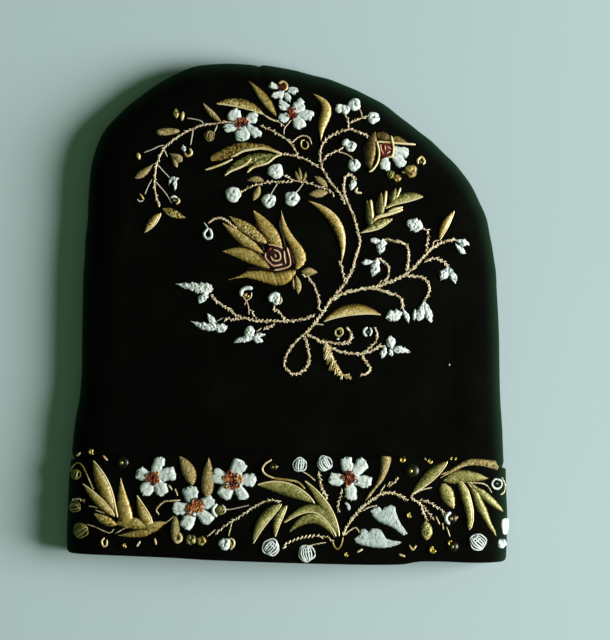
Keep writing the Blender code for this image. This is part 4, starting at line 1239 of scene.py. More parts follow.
# Whole flowers on the band: the middle, the core's radius and each petal's angle, reach and width
Flower = namedtuple("Flower", "piece middle core petals")
FLOWERS = [Flower(*row) for row in (
    ("band_blossom_first", (-73.3, 42.1), 3.4, [(72, 11.2, 5.8), (11, 11.6, 7.2), (301, 11, 6.8),
        (239, 11.2, 6.8), (167, 9.6, 6.8)]),
    ("band_blossom_second", (-30.1, 41.3), 4.6, [(69, 11.6, 7.8), (1, 12, 6.8), (302, 11.8, 5.6),
        (237, 11, 7.2), (165, 11.4, 7.4)]),
    ("band_blossom_third", (-50.5, 26.3), 4.8, [(108, 11.4, 8), (22, 10.9, 7), (315, 11.6, 6.8),
        (245, 13, 6.8), (185, 12, 6.4)]),
    ("band_blossom_fourth", (33, 43.6), 4.3, [(100, 11.6, 6.2), (47, 13.2, 6.8), (348, 11.8, 6.6),
        (276, 11.8, 6.2), (184, 11.2, 6.6)]),
)]

# The berries, the balls and the other small heaps of floss
BALLS = [Ball(*row) for row in (
    ("berry_row_first", (-33.2, 196.7), 4.3, 70, 0),
    ("berry_row_second", (-13.8, 193.6), 3.9, 75, 0.35),
    ("berry_row_third", (-1.2, 195), 4, 60, 0.3),
    ("berry_row_fourth", (-10.4, 209.8), 4.2, 150, 0.2),
    ("crown_small_berries", (23.6, 244.8), 2.5, 100, 0),
    ("crown_small_berries", (26.8, 244.4), 2.6, 80, 0.2),
    ("crown_small_berries", (31.8, 247.2), 3.4, 115, 0.3),
    ("crown_small_berries", (42.2, 240.2), 3.3, 15, 0.2),
    ("crown_small_berries", (27.6, 226), 2.3, 100, 0),
    ("crown_small_berries", (30.2, 224.2), 3, 80, 0.25),
    ("crown_small_berries", (32.2, 214), 3.4, 110, 0.25),
    ("band_ball_first", (-8.9, 5.3), 4.9, 55, None),
    ("band_ball_second", (10.7, 2.4), 4.8, 100, None),
    ("band_ball_third", (103.8, 10.2), 4.8, 130, None),
    ("band_small_balls", (5.9, 50.5), 4.1, 95, None),
    ("band_small_balls", (19.5, 51.5), 4.3, 120, None),
    ("band_small_balls", (-34, 6.6), 3.4, 90, 0.2),
    ("band_small_balls", (117, 9.4), 2.6, 90, 0.3),
    ("band_dull_balls", (-115.8, 42.5), 3, 70, None, "olive"),
    ("band_dull_balls", (-116, 24.8), 3.3, 20, None, "olive"),
    ("band_dull_balls", (-112.6, 11.9), 4.3, 40, None, "olive"),
    ("band_dull_balls", (-52.4, 8.4), 2.8, 90, 0.4, "olive"),
    ("band_dull_balls", (-46.8, 8), 2.6, 90, 0.2, "gold"),
    ("band_dull_balls", (-36.6, 24.8), 2.6, 60, None, "olive"),
    ("crown_small_berries", (-46.8, 228.3), 3, 60, None, "tan"),
    ("crown_eyes", (-9, 139.8), 2.7, 80, 0.4),
    ("crown_small_berries", (63.4, 211.6), 3.4, 60, 0, "gold"),
    ("crown_small_berries", (55.8, 207.4), 2.1, 40, 0.2, "gold"),
    ("crown_small_berries", (52.3, 209.2), 2.2, 40, None, "olive"),
)]

# Knotted hearts: the middle, the radius, how many knots and their threads
Heart = namedtuple("Heart", "piece middle radius knots threads")
HEARTS = [Heart(*row) for row in (
    ("crown_blossom_left", (-29.4, 235.6), 3.4, 16, ("red", "red", "orange")),
    ("crown_blossom_top", (-2, 241.4), 3.2, 14, ("red", "red", "orange")),
    ("crown_half_flower", (-8.2, 255), 2, 7, ("red",)),
    ("band_blossom_first", (-73.6, 41.6), 3.6, 18, ("red", "orange", "red")),
    ("band_blossom_second", (-30.1, 41.3), 5, 26, ("red", "orange", "orange")),
    ("band_blossom_third", (-50.5, 26.3), 4.9, 28, ("orange", "red", "orange")),
    ("band_blossom_fourth", (32.8, 43.6), 4.2, 20, ("red", "orange", "red")),
)]

# The couched stems, piece by piece
STEMS_LEFT, STEMS_RIGHT, STEMS_TOP = "crown_stems_left", "crown_stems_right", "crown_stems_top"
BAND_STEMS_LEFT, BAND_STEMS_RIGHT = "band_stems_left", "band_stems_right"
STEMS = listed(Stem, [
    (STEMS_RIGHT, [
        (1.3, 1.6, [(5, 119.9), (10, 124.5), (16.2, 132.6), (20.8, 139.9), (25.8, 146.1), (28.8, 150.2),
            (31.9, 156.5), (34.2, 164.2), (36, 172.2), (34.4, 179.5), (31.9, 187.2), (28.8, 193.8),
            (26.7, 201.1), (27.7, 207.6), (30, 208.6), (32.3, 206.8), (33.8, 206.1)]),
        (1.2, 2, [(27.7, 192.6), (24.6, 198.4), (19.6, 204.5), (15.4, 210.7), (13.6, 217.5), (14.4, 224.2),
            (18.1, 228.8), (24.2, 232.2), (28.8, 233.4), (34.9, 232.2), (39.8, 229.9)]),
        (1.1, 2.2, [(24.6, 161.8), (26.2, 158.8), (27.3, 154.2), (28.5, 150.8)]),
        (1.3, 1.6, [(5, 119.9), (1.5, 116.3), (-2.3, 110.3), (-3.7, 104.9), (-1.9, 101.8), (1.9, 99.7),
            (6.6, 101.5), (9.6, 106.1), (9.2, 113.4), (6.9, 119.9)]),
        (1.1, 2, [(4.6, 154), (8.8, 152.2), (12.7, 145.7), (14.8, 138.4), (14.1, 135.8), (16.2, 134.2)]),
    ]),
    (STEMS_LEFT, [
        (1.2, 1.5, [(-25, 129.2), (-18.3, 128.2), (-9.6, 128.4), (-1.2, 128.4), (5.8, 129.7),
            (12.1, 131.7)]),
        (1.3, 1.9, [(-44.6, 142), (-39.6, 137.4), (-34.6, 134.2), (-29.6, 130.7), (-23.5, 129)]),
        (1, 2.4, [(-36.7, 127.4), (-34.6, 129), (-31.5, 128.4), (-28.5, 129.6)]),
        (0.8, 0, [(-40.8, 127.6), (-37.3, 129.5)], "grey"),
        (0.9, 0, [(-19.2, 122.2), (-16.2, 124.5)]),
        (1.1, 1.8, [(-15.4, 123.2), (-12.3, 125.3), (-9.2, 126.7)]),
        (0.9, 0, [(-27.9, 142.8), (-25, 138.8), (-23.8, 136.1), (-23.3, 131.5)]),
        (0.9, 0, [(-22.1, 143.8), (-22.5, 141), (-25, 138.8), (-25.8, 136.5)]),
        (0.9, 2.6, [(-23.6, 134), (-21.9, 133.4), (-20.8, 131.5), (-19, 128.6)]),
        (1.1, 2.2, [(-10, 136.8), (-9.2, 133.8), (-7.7, 134.2), (-6.2, 132.2), (-3.5, 129.5)]),
    ]),
    (STEMS_RIGHT, [
        (1.1, 1.7, [(16.2, 118.4), (21.5, 117), (28.8, 117.2), (31.9, 118.4), (32.6, 122), (30, 126.1)]),
        (1.1, 2.4, [(44.8, 126.1), (46.5, 123.4), (46.7, 120.5), (44.7, 116.9), (41.9, 114.2),
            (39.2, 111.8)]),
        (1.3, 1.7, [(7.7, 121.8), (15.4, 118), (21.9, 114.2), (28.3, 112.2), (34.6, 111.3), (40.7, 112.1),
            (45.8, 114.2), (47.7, 116.1), (50, 115.5)]),
        (1.3, 1.5, [(38.5, 111.1), (39.6, 108.4), (42.3, 105), (43.1, 103), (40.8, 100.3), (37.7, 100.1)]),
        (0.9, 0, [(12.7, 127.2), (17.3, 126.8)]),
        (1.3, 1.5, [(21.2, 139.9), (26.9, 143.8), (36.9, 146.5), (45.4, 148), (53.5, 151.2), (61.9, 155.7),
            (67.7, 161.1), (73.8, 168), (79.2, 172.2), (84.6, 174.1), (88.8, 174.5)]),
        (1.2, 1.5, [(41.9, 146.8), (46.5, 146.8), (52, 145.1), (56.6, 143.8), (59.6, 141.5), (60, 138.4),
            (60.2, 136)]),
        (1.2, 1.4, [(61.9, 154.2), (66.2, 154.2), (71.5, 153), (74.6, 148.8), (73.9, 144.4), (71.5, 141)]),
        (1.2, 1.4, [(61.9, 156.8), (62.9, 164.5), (61.5, 171.1), (56, 173), (49.6, 174.2)]),
        (1.1, 2.2, [(46, 163.6), (50, 161.5), (52.2, 157.2), (51.5, 153.4), (50, 150.8)]),
        (0.9, 0, [(46.9, 149.5), (48.5, 151.8)]),
        (1, 2.6, [(69.8, 180.2), (73.1, 178.6), (72.7, 172.2), (72.3, 166.5)]),
        (1.1, 1.8, [(71.2, 161.8), (76.5, 164.2), (81.4, 162.8), (84.6, 159.8)]),
        (0.9, 0, [(79.3, 174.2), (76.6, 173.4), (75.6, 170.6)]),
    ]),
    (STEMS_TOP, [
        (1, 3, [(-29.6, 197.4), (-25, 200.5), (-17.3, 203.1), (-9.6, 204.2), (-1.5, 203.8)]),
        (0.9, 0, [(-9.2, 203.4), (-11.5, 199.5), (-13.4, 196.1)], "grey"),
        (0.9, 0, [(-0.4, 197.4), (1.8, 199.5), (4.8, 203.6)], "grey"),
        (1, 4, [(-6.5, 207.8), (0, 204.9), (6.2, 204), (13.5, 201.8), (19.2, 199.9), (21.9, 196.8)]),
        (1, 5, [(-13.1, 237.4), (-10, 236.9), (-6.2, 234.5)]),
        (0.9, 0, [(-2.5, 238), (-4.6, 235.3), (-6.2, 233), (-6.3, 229.9)]),
        (1.1, 5, [(-19.6, 234.7), (-11.5, 231.1), (-5, 227.2), (-0.4, 222.2), (1.2, 218.4)]),
        (1.1, 0, [(-2.3, 225.1), (1.2, 228.4), (4.2, 229.5), (7.3, 228.4), (8.8, 224.9)]),
        (1.2, 0, [(5, 227.2), (3.2, 226.4), (3.5, 223.2), (5.8, 222.4), (6.9, 224.5), (5.8, 226.6)],
            "gold"),
        (1.2, 4, [(-7.3, 219.2), (1.2, 218), (8.5, 215.1), (12.9, 212.2)]),
        (1, 4, [(28.7, 233.8), (28.7, 236.8), (27.7, 239.9), (26.2, 242.2)]),
        (1, 5, [(29.2, 236.8), (32.7, 238.4), (36.9, 240.3), (40, 241.2)]),
        (0.9, 0, [(35.9, 240.2), (35.6, 242.4), (34.6, 244.6), (33.4, 246)]),
        (1.1, 3, [(26.2, 223.8), (23.1, 221.8), (19.6, 220.3), (16.5, 218), (15, 215.7)]),
        (0.9, 0, [(23.1, 221.1), (26.9, 220.3), (30.4, 218.4), (31.6, 216.8)]),
    ]),
    (STEMS_LEFT, [
        (1.3, 4, [(-27.5, 235.3), (-37.7, 236.1), (-44.2, 235.1), (-50.4, 234.3), (-60.4, 229.9),
            (-67.7, 224.9), (-71.7, 220.9), (-75.2, 212.6), (-76.3, 203.3), (-75.6, 196.5), (-73.3, 189)]),
        (0.9, 0, [(-59.4, 237.8), (-55.8, 237.4), (-51.9, 236.5), (-50.2, 234.8)], "grey"),
        (0.9, 0, [(-71.3, 222.8), (-74.2, 222.2), (-78.1, 220.3), (-82.5, 218.6)], "grey"),
        (0.9, 0, [(-71.5, 220.7), (-69.6, 216.5)], "grey"),
        (1.1, 0, [(-55.8, 232.2), (-56.3, 228.4), (-57.1, 223.2)], "grey"),
        (0.9, 0, [(-42.7, 234.5), (-44.2, 230.3)], "grey"),
        (0.9, 0, [(-75.2, 212.6), (-71.8, 208.8), (-67.7, 204.7)], "grey"),
        (0.9, 0, [(-75.8, 203), (-70, 196.5), (-66.7, 191.3)], "grey"),
        (0.9, 0, [(-77.7, 204.2), (-80, 199.5), (-81.3, 195.9)], "grey"),
        (1.8, 0, [(-46.5, 180.7), (-44.6, 182.4), (-41.9, 183.6), (-38.8, 183.4), (-35.8, 181.8),
            (-33.5, 179.7), (-30.8, 178.2)]),
        (1, 0, [(-48.8, 181.1), (-47.7, 179.6), (-46.5, 178)], "white"),
    ]),
    (BAND_STEMS_LEFT, [
        (1.1, 0, [(-119.2, 43.8), (-117.4, 47.1), (-115.1, 48.6), (-112.8, 47.5), (-110.5, 43.6),
            (-108.5, 39.4), (-106.2, 34.4)], "gold"),
        (0.9, 3, [(-118, 27.8), (-114.3, 29.4), (-110.8, 27.5)]),
        (0.9, 0, [(-108.9, 25.5), (-103.5, 24.6)]),
        (0.9, 0, [(-105.1, 23.4), (-99.7, 21.7)]),
        (0.8, 0, [(-109.3, 15.5), (-104.7, 14), (-97, 11.1), (-94.6, 13.2)]),
        (0.8, 0, [(-93.7, 10.9), (-88.5, 14)]),
        (0.9, 0, [(-67.4, 16.7), (-65, 18.4), (-62, 20.9)]),
        (1.3, 0, [(-65.1, 38), (-63.2, 35.2)]),
        (1.3, 0, [(-61.6, 36), (-60.1, 32.1)]),
        (1.3, 0, [(-58.6, 29.8), (-63.4, 29.4), (-67.8, 28.6), (-71.6, 24.4), (-70.1, 21.7)]),
        (0.9, 0, [(-36.2, 25.4), (-31.2, 25.5), (-21.2, 27.9)], "grey"),
        (1.1, 2.2, [(-3.9, 30.5), (-10.5, 30.7), (-17.4, 27.8), (-27.4, 20.9), (-33.2, 17.1),
            (-39.3, 11.9)]),
        (1, 0, [(-39.3, 14.2), (-43.7, 10.2)]),
        (0.9, 0, [(-29.9, 20.5), (-32, 10.9)]),
        (1.6, 0, [(-9.3, 53), (-12.8, 50.7), (-14.3, 47.5), (-12.4, 44.8), (-8.2, 43), (-0.5, 42.1),
            (5, 41), (9.1, 37.5)], "gold"),
    ]),
    (BAND_STEMS_RIGHT, [
        (1.2, 0, [(24.5, 9.4), (25.7, 6.3), (27.4, 5), (29.2, 7.1), (30.3, 11.7)], "gold"),
        (0.9, 0, [(7.6, 46.7), (11.1, 44.8), (14.5, 41.9)]),
        (1.2, 2, [(16.1, 47.5), (16.8, 43.6), (18, 39.4), (19.2, 35.9), (21.5, 32.1)]),
        (1, 2.2, [(29, 38), (28.5, 34), (27.3, 30), (27.2, 25)]),
        (0.9, 0, [(49.9, 36.3), (52.6, 40.5)]),
        (0.9, 0, [(53.6, 39.4), (55.3, 42.3)]),
        (0.9, 2.2, [(54.5, 39), (60, 44.4)]),
        (1.4, 1.7, [(30.3, 12.5), (31.8, 16.7), (34.5, 20.9), (38.4, 25.9), (43.4, 30.5), (48, 34),
            (52.6, 35.9), (57.2, 36.1), (62.3, 33.8), (65, 32.1)]),
        (1.1, 0, [(30.7, 12.5), (34.2, 15.5), (37, 16.9), (38.8, 14.8), (40.7, 13.2)]),
        (1.1, 0, [(40.3, 25.9), (44.2, 28.2), (48.4, 29)]),
        (1, 0, [(21.1, 8.6), (15.3, 7.5), (11.5, 6.3)]),
        (0.9, 2.4, [(15.3, 11.7), (19.5, 11.7), (22.6, 10.9), (24.5, 9)]),
        (1.1, 0, [(66.3, 34.4), (68.5, 35.9), (72.7, 38.2), (78.1, 39.4)]),
        (1, 0, [(82.8, 46.5), (88.8, 49), (94.6, 51.3), (99.6, 52.5)]),
        (1.3, 2, [(66.3, 34), (69.2, 32.1), (71.9, 30.5), (73.5, 26.3), (75.4, 21.3)]),
        (0.9, 2.4, [(73.1, 29.8), (76.2, 25.9), (79.6, 21.7)]),
        (0.9, 2, [(71.2, 32.1), (75.4, 32.1), (81.5, 28.2), (84.2, 27.1), (84.6, 23.6)]),
        (1.2, 0, [(80.6, 23.8), (82.7, 19.4)]),
        (1.1, 0, [(84.2, 20.5), (84.8, 16.7)]),
        (1.1, 0, [(86.5, 18.2), (88.5, 12.8)]),
        (1, 0, [(96.9, 42.5), (105.4, 42.1), (108.5, 40.5), (110.8, 37.1)]),
        (1.8, 0, [(113.3, 44.6), (115.6, 43.6), (116, 41.2), (114.4, 39.4), (112, 39.8), (110.8, 42),
            (112, 44.2), (113.6, 44.6)], "white"),
        (1.1, 0, [(116.2, 45.5), (118, 41.7), (117.6, 37.5), (115.4, 35.9)]),
    ]),
])

# The feathered leaf's spine, how far its strands reach and how many there are
FEATHER_REACH, FEATHER_STRANDS = 3.9, 46
FEATHER_SPINE = [(18.4, 117.2), (21.2, 111.5), (23.1, 107.2), (26.2, 102.6), (28.2, 99.8), (32, 99.9)]

# Straight bright bars and strokes: the piece, the thread, the width, the ends
Bar = namedtuple("Bar", "piece finish width start end")
BARS = [Bar(*row) for row in (
    (STEMS_TOP, "bright", 1.8, (41.5, 195.3), (42.7, 184.9)),
    (STEMS_TOP, "bright", 1.8, (49.8, 200.3), (49, 191.5)),
    (STEMS_TOP, "bright", 1.3, (57.7, 202.2), (55, 194.9)),
    (STEMS_TOP, "bright", 1.2, (44.2, 227.2), (65.4, 226)),
    ("tulip_heart", "red", 1.6, (-13.6, 166.6), (-11.8, 168)),
)]

# Bright gilt cord along leaves: the piece, the width and the way
EDGES = [
    ("crown_leaf_great_upper", 1.3, [(-48.8, 209.7), (-45, 210.9), (-39.6, 213), (-34, 215.8)]),
    ("crown_leaf_great_upper", 1.5, [(-35, 217), (-32.7, 218), (-28.5, 220.3), (-23, 221.5), (-19.2, 222),
        (-14.6, 221.5), (-10.8, 220.3), (-7.3, 219.2)]),
    ("crown_leaf_great_lower", 1.4, [(-38.1, 206.8), (-35, 209.2), (-29.2, 211.8), (-25.8, 214.2),
        (-23.7, 216.8)]),
    (CROWN, 1.4, [(-26, 208.6), (-23, 211.5), (-20, 212.6), (-15, 214.2), (-10.8, 217.6), (-7.3, 218.8)]),
    (STEMS_TOP, 2, [(59, 190.4), (55, 189), (50.4, 187.4), (45.8, 186.1), (43.1, 183.8)]),
    (STEMS_TOP, 1.5, [(59, 191.6), (54.4, 190.4), (51, 188.8)]),
    (STEMS_TOP, 1, [(-17.6, 240.4), (-14.4, 238.4), (-11.4, 237.2)]),
    (BAND_STEMS_LEFT, 1, [(-9.3, 53), (-12.8, 50.7), (-14.3, 47.5), (-12.4, 44.8), (-8.2, 43)]),
]

# Thin dark red lines between the tulip's petals
RED_LINES = [
    [(-7.7, 183.4), (-7.4, 178.8), (-5.6, 173.8), (-4.4, 169), (-1, 164.6), (0.6, 159.6)],
    [(-24.6, 156.7), (-17.3, 156.7), (-9.6, 155.6), (-2.5, 156.6), (2.2, 156.4)],
    [(-9.4, 155), (-9.4, 147.9)], [(-27.4, 176.2), (-22, 172.4), (-17.4, 169.6), (-15.8, 166.4)],
    [(-31, 168.4), (-25, 167.8), (-20, 165.4), (-15.6, 160.6)],
    [(-20.8, 180.6), (-16.8, 176), (-11.6, 171.8)],
]

# The pink lines worked round and round in the tulip's heart, and the square flower's
HEART_LINES = [
    [(-13.8, 169.9), (-9.6, 169.2), (-5.8, 168)], [(-5, 166.5), (-4.6, 162.6), (-4, 159.5)],
    [(-5.8, 159.2), (-10.4, 158.4), (-12.3, 159.5), (-15, 162.6), (-15, 165.3)],
    [(-10.8, 167.2), (-7.7, 165.7), (-6.9, 162.6), (-8.1, 161.3), (-10.8, 161.3), (-12.2, 163.4)],
    [(-3.5, 168.4), (-2.3, 164.5), (-1.5, 160.7), (-1.9, 158.4), (-5.8, 156.8), (-10.4, 155.9)],
    [(-10.2, 164.6), (-9.4, 163.6), (-9.9, 162.9)],
]
SQUARE_LINES = [
    [(46.4, 225.6), (46.6, 223), (48.1, 220.3)], [(49.6, 224.5), (51.9, 223.2)],
    [(49.6, 220.7), (51.5, 221.8)], [(48.6, 225), (49, 222.4)],
]
SQUARE_STROKES = [
    [(44.2, 227.2), (45.4, 222.6), (45.6, 219.5), (44.8, 215.7), (42.7, 212.2), (40.4, 210.3)],
    [(51.9, 230.3), (52.7, 226.8), (53.3, 223.4), (52.7, 219.5), (50, 218.6)],
]

# The arcs of the eye-shaped beads: the piece, the thread, the width and the way
Arc = namedtuple("Arc", "piece finish width way")
EYE_ARCS = listed(Arc, [
    ("crown_eyes", [
        ("white", 2.2, [(-27.8, 141.6), (-27.4, 144.6), (-25, 146), (-21.6, 145.8)]),
        ("white", 2.4, [(-11.6, 138.8), (-11.8, 141.4), (-9.6, 143), (-6.8, 142.2)]),
        ("tan", 1.2, [(-6.4, 141.6), (-5.9, 139.4), (-7.2, 137.4)]),
        ("olive", 1.2, [(24.2, 124.4), (26.8, 125), (27.8, 122.8), (26, 120.8), (23.8, 121.8),
            (24, 124.2)]),
        ("white", 1.4, [(24.4, 119.2), (26, 119.4)]),
        ("white", 1.6, [(41.2, 126), (39.4, 124.4), (39.4, 122.4), (41, 121)]),
        ("white", 1.2, [(42.6, 125.8), (43.4, 123.6), (42.4, 121.2)]),
        ("white", 1.4, [(-67.3, 194.2), (-65.6, 195), (-63.8, 194.4)]),
        ("tan", 1.6, [(-63.4, 194), (-62.7, 192.4), (-64.2, 190.8)]),
        ("gold", 1.5, [(-57.4, 221.3), (-56.4, 218.6), (-58.6, 217.2), (-60.4, 218.8)]),
        ("gold", 1.5, [(67, 215.3), (66.9, 217.6), (68.8, 219.2), (70.4, 216.8), (69.6, 215.1)]),
        ("gold", 1.6, [(-9.9, 257.4), (-8, 258.6), (-5.9, 257.6), (-5.4, 255.4), (-6.4, 253.8)]),
        ("white", 1.5, [(-46.4, 178.2), (-48.6, 175), (-47.4, 172.6), (-44.8, 173), (-44.6, 175.4),
            (-45.8, 178)]),
        ("cord", 1.3, [(34.2, 201.8), (33.4, 199.4), (36.6, 198.9)]),
        ("grey", 0.8, [(-85.6, 193.2), (-84.2, 192), (-82.2, 192.4)]),
    ]),
    ("band_eyes", [
        ("white", 1.9, [(-38.6, 28.2), (-40.6, 25.8), (-40.2, 23), (-38.4, 21.4)]),
        ("grey", 1.2, [(-35.8, 27.8), (-34.2, 25.6), (-34.4, 23.4)]),
        ("white", 2, [(88.6, 26.2), (86.4, 24.4), (86.2, 21.8), (88, 19.6)]),
        ("gold", 1.2, [(-31.4, 9.8), (-29.2, 8.6), (-29, 6), (-30.8, 3.6)]),
        ("tan", 2, [(-61.6, 7.8), (-59.8, 7.2), (-57.8, 8.6), (-58.6, 11.2), (-60.2, 11)]),
        ("gold", 1.1, [(-99.6, 8.4), (-101, 6.4), (-100, 3.8), (-98.4, 4.4), (-98.2, 7.4)]),
        ("gold", 1.2, [(66.3, 7.9), (68.3, 5.5), (70.2, 7.9)]),
    ]),
])

# Glass beads and brass sequins; a sequin's opening is turned by its last number, in degrees
Bead = namedtuple("Bead", "kind middle size turned")
SPANGLES = [Bead(*row) for row in (
    ("glass", (-90.3, 49.6), 6.4, 0), ("sequin", (-89.6, 49.9), 3, 70), ("sequin", (-107.6, 55), 3.6, 10),
    ("sequin", (-88.5, 4.4), 3, 40), ("glass", (-8.2, 49), 4.6, 0), ("sequin", (-6.8, 49.4), 2.4, 80),
    ("sequin", (61.7, 54.4), 3.8, 120), ("glass", (67.2, 48.4), 8, 0), ("sequin", (65.8, 48.8), 3.4, 0),
    ("sequin", (76.8, 53.7), 3.4, 70), ("sequin", (88.4, 55.5), 1.8, 0), ("sequin", (90.8, 55.3), 1.8, 0),
    ("glass", (89.6, 22.8), 6, 0), ("sequin", (66, 24.2), 3.6, 30), ("sequin", (79.2, 5.6), 4.8, 50),
    ("glass", (90.5, 7.5), 6, 0), ("sequin", (88.8, 9.4), 3.6, 20), ("sequin", (32.2, 2.2), 3, 45),
    ("sequin", (-24.6, 142), 3, 60), ("glass", (-65.2, 192.8), 3, 0), ("sequin", (27.1, 123.3), 1.8, 0),
    ("glass", (41.5, 123.4), 2.4, 0), ("glass", (68.4, 216.4), 2.6, 0), ("glass", (-8, 255.2), 2.4, 0),
    ("glass", (59, 210.6), 3, 0), ("sequin", (-37.4, 24.8), 3.2, 60), ("glass", (113.3, 42.1), 2.6, 0),
    ("sequin", (-30.6, 6.4), 2.4, 30),
)]

# Short loose stitches, nearly all of them scattered over the band
Dash = namedtuple("Dash", "finish start end")
DASHES = [Dash(*row) for row in (
    ("cord", (-115.8, 52.5), (-113.8, 54.4)), ("pink", (-101.8, 53.2), (-98.7, 50.5)),
    ("pink", (-82, 4), (-80, 7)), ("pink", (-72.2, 8.8), (-71.3, 5.3)), ("cord", (38, 3.6), (41, 5.2)),
    ("gold", (60.8, 2.8), (64.2, 1.7)), ("gold", (73.4, 55.2), (74.6, 54.2)),
    ("orange", (90.2, 21.6), (92.6, 23.8)), ("grey", (85.8, 106.2), (86.6, 106.6)),
    ("cord", (-0.5, 6.2), (-2.4, 4.8)),
)]
# The row of slanted stitches that runs down to the left from the middle of the band's spray
SLANT_START, SLANT_END, SLANT_COUNT = (15, 12), (-2, 6.7), 8
SLANT_BOW, SLANT_HALF = 1.2, np.array((0.75, 1))


# How thick the padding is, in millimetres: under leaves, narrow leaves, felt petals and petals of floss
LEAF_PAD, NARROW_PAD, FELT_PAD, FLOSS_PAD = 1.35, 1.15, 0.9, 1.1
NARROW = 4  # a leaf narrower than this has the thinner padding


def floss_petal(name, style, base, tip, bow, width, belly, full, tone):
    work(Worked(name, "white", style, base, tip, bow, width, belly, full), thickness=FLOSS_PAD, tone=tone)


def embroider_leaves_and_flowers():
    for row in LEAVES + SMALL_LEAVES + OUTLINED:
        if row.finish == "white":
            work(row, thickness=FELT_PAD, tone=0.64)
        else:
            work(row, thickness=NARROW_PAD if row.width < NARROW else LEAF_PAD, tone=0.66)
    for row in PETALS:
        style, fuller = ("crumbs", 1) if "bell" in row.piece else ("floss", 1.2)
        floss_petal(row.piece, style, row.base, row.tip, row.bow, row.width * fuller, row.belly, row.full,
                    tone=0.92)
    for flower in FLOWERS:
        for angle, reach, width in flower.petals:
            way = on_circle([math.radians(angle)])[0]
            base, tip = flower.middle + way * flower.core * 0.6, flower.middle + way * reach
            floss_petal(flower.piece, "floss", base, tip, 0.2, width + 0.6, 0.66, 0.42, tone=0.88)
    for ball in BALLS:
        wind_ball(ball)
    for heart in HEARTS:
        dome_of(heart.piece, heart.middle, heart.radius * 2.2, heart.radius * 2, 1.25, "red", tone=0.2)
        curl_knots(heart)


def couch_lines(name, ways, width, finish, twist, tone, lift):
    for way in ways:
        run_cord(name, through(way), width, finish, twist=twist, tone=tone, lift=lift)


def embroider_cords():
    for stem in STEMS:
        sew_stem(stem)
    for bar in BARS:
        run_cord(bar.piece, through([bar.start, bar.end]), bar.width, bar.finish, twist=0.2, tone=0.9)
    feather("crown_leaf_feather", FEATHER_SPINE, FEATHER_REACH, FEATHER_STRANDS)
    for name, width, way in EDGES:
        run_cord(name, through(way), width, "bright", twist=0.3, tone=0.9, lift=1.1, taper=3)
    couch_lines("tulip_heart", RED_LINES, 0.9, "red", 0.1, 0.1, 0.8)
    dome_of("tulip_heart", (-8.2, 162.8), 16.4, 15.6, 1.1, "red", tone=0.2)
    couch_lines("tulip_heart", HEART_LINES, 0.9, "pink", 0.3, 0.82, 1.3)
    dome_of("crown_blossom_square", (49.2, 222.8), 9, 8.8, 1.1, "red", tone=0.62, turned=5)
    couch_lines("crown_blossom_square", SQUARE_LINES, 0.75, "pink", 0.3, 0.85, 1.3)
    couch_lines("crown_blossom_square", SQUARE_STROKES, 1.3, "bright", 0.2, 0.85, 1.1)


def sew_on_trimmings():
    for arc in EYE_ARCS:
        run_cord(arc.piece, through(arc.way), arc.width, arc.finish, twist=0.2, tone=0.85)
    for spangle in SPANGLES:
        name = "band_spangles" if spangle.middle[1] < CROWN_FROM else "crown_spangles"
        if spangle.kind == "glass":
            bead(name, spangle.middle, spangle.size)
        else:
            sequin(name, spangle.middle, spangle.size, spangle.turned)
    dashes = [(BAND_STEMS_LEFT, dash.finish, 1.2, dash.start, dash.end) for dash in DASHES]
    start, end = np.array(SLANT_START), np.array(SLANT_END)
    for share in (np.arange(SLANT_COUNT) + 0.5) / SLANT_COUNT:
        place = start + (end - start) * share + (0, SLANT_BOW * math.sin(math.pi * share))
        dashes.append((BAND_STEMS_RIGHT, "cord", 0.95, place - SLANT_HALF, place + SLANT_HALF))
    for name, finish, width, start, end in dashes:
        run_cord(name, through([start, end]), width, finish, twist=0.2, tone=0.85, taper=0.8)


crown_panel("crown_front_velvet", 1)
crown_panel("crown_back_velvet", -1)
band_ring("band_velvet")
embroider_leaves_and_flowers()
embroider_cords()
sew_on_trimmings()

PANEL_FLAT, PANEL_AREA = (0.262, 0.232), 0.049
BAND_FLAT, BAND_AREA = (0.49, 0.057), 0.0279
CLOTH = {"crown_front_velvet": ("crown_front", PANEL_FLAT, PANEL_AREA, "band"),
         "crown_back_velvet": ("crown_back", PANEL_FLAT, PANEL_AREA, "band"),
         "band_velvet": ("band", BAND_FLAT, BAND_AREA, "crown_back")}
for name, made in PIECES.items():
    item = made.make()
    if name in CLOTH:
        node, flat, area, under = CLOTH[name]
        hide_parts(node)
    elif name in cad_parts:
        item.name = f"{name}_stitching"
        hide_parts(name)

# Table, light and camera

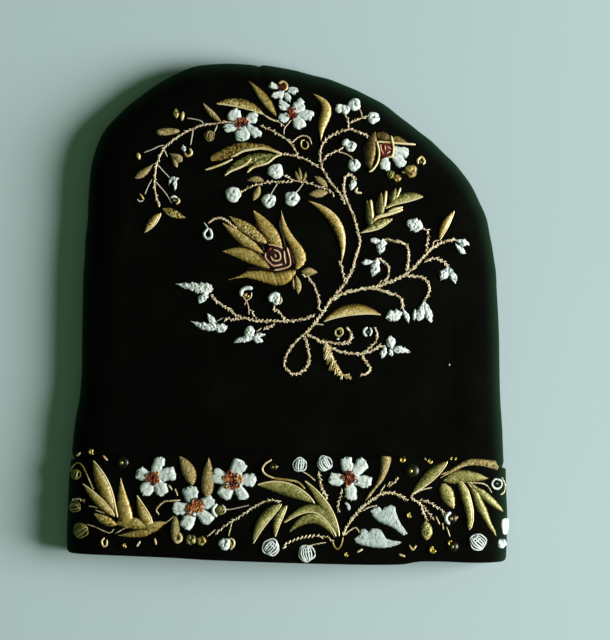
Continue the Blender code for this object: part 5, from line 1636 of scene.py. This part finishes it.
floor_mesh = bpy.data.meshes.new("table_top")
FLOOR_HALF, FLOOR_DROP = 3, 0.0002
floor_corners = [(x * FLOOR_HALF, y * FLOOR_HALF, -FLOOR_DROP)
                 for x, y in ((-1, -1), (1, -1), (1, 1), (-1, 1))]
floor_mesh.from_pydata(floor_corners, [], [(0, 1, 2, 3)])
floor_mesh.materials.append(table_top())
floor = bpy.data.objects.new("table_top", floor_mesh)
bpy.context.collection.objects.link(floor)


def add_light(name, place, size, power, code):
    lamp = bpy.data.lights.new(name, "AREA")
    lamp.shape = "DISK"
    lamp.size = size
    lamp.energy = power
    lamp.color = linear(code)[:3]
    item = bpy.data.objects.new(name, lamp)
    item.location = place
    item.rotation_euler = (-Vector(place)).to_track_quat("-Z", "Y").to_euler()
    bpy.context.collection.objects.link(item)


add_light("window", (2.52, -0.12, 1.2), 1.8, 143.0, "#FFFBF4")
add_light("room", (-0.3, -0.2, 2.6), 2.4, 1.2, "#DDF0EC")

world = bpy.data.worlds.new("studio")
bpy.context.scene.world = world
world.use_nodes = True
world.node_tree.nodes["Background"].inputs["Color"].default_value = linear("#B4F09C")
world.node_tree.nodes["Background"].inputs["Strength"].default_value = 0.1

bpy.context.scene.view_settings.view_transform = "Standard"

# The camera looks straight down; the cap lies turned a little clockwise in the picture
VIEW_ACROSS, VIEW_UP = 7.2, 129.2
VIEW_TALL = 0.349
CAP_TURN = math.radians(1.17)
CAMERA_HEIGHT = 2.4
EMBROIDERY_HEIGHT = 0.018
camera_data = bpy.data.cameras.new("camera")
camera_data.lens = camera_data.sensor_width * (CAMERA_HEIGHT - EMBROIDERY_HEIGHT) / VIEW_TALL
camera = bpy.data.objects.new("camera", camera_data)
camera.location = ((VIEW_ACROSS - CHART_MIDDLE_ACROSS) * MM, (VIEW_UP - CHART_MIDDLE_UP) * MM,
                   CAMERA_HEIGHT)
camera.rotation_euler = (0.0, 0.0, CAP_TURN)
bpy.context.collection.objects.link(camera)
bpy.context.scene.camera = camera
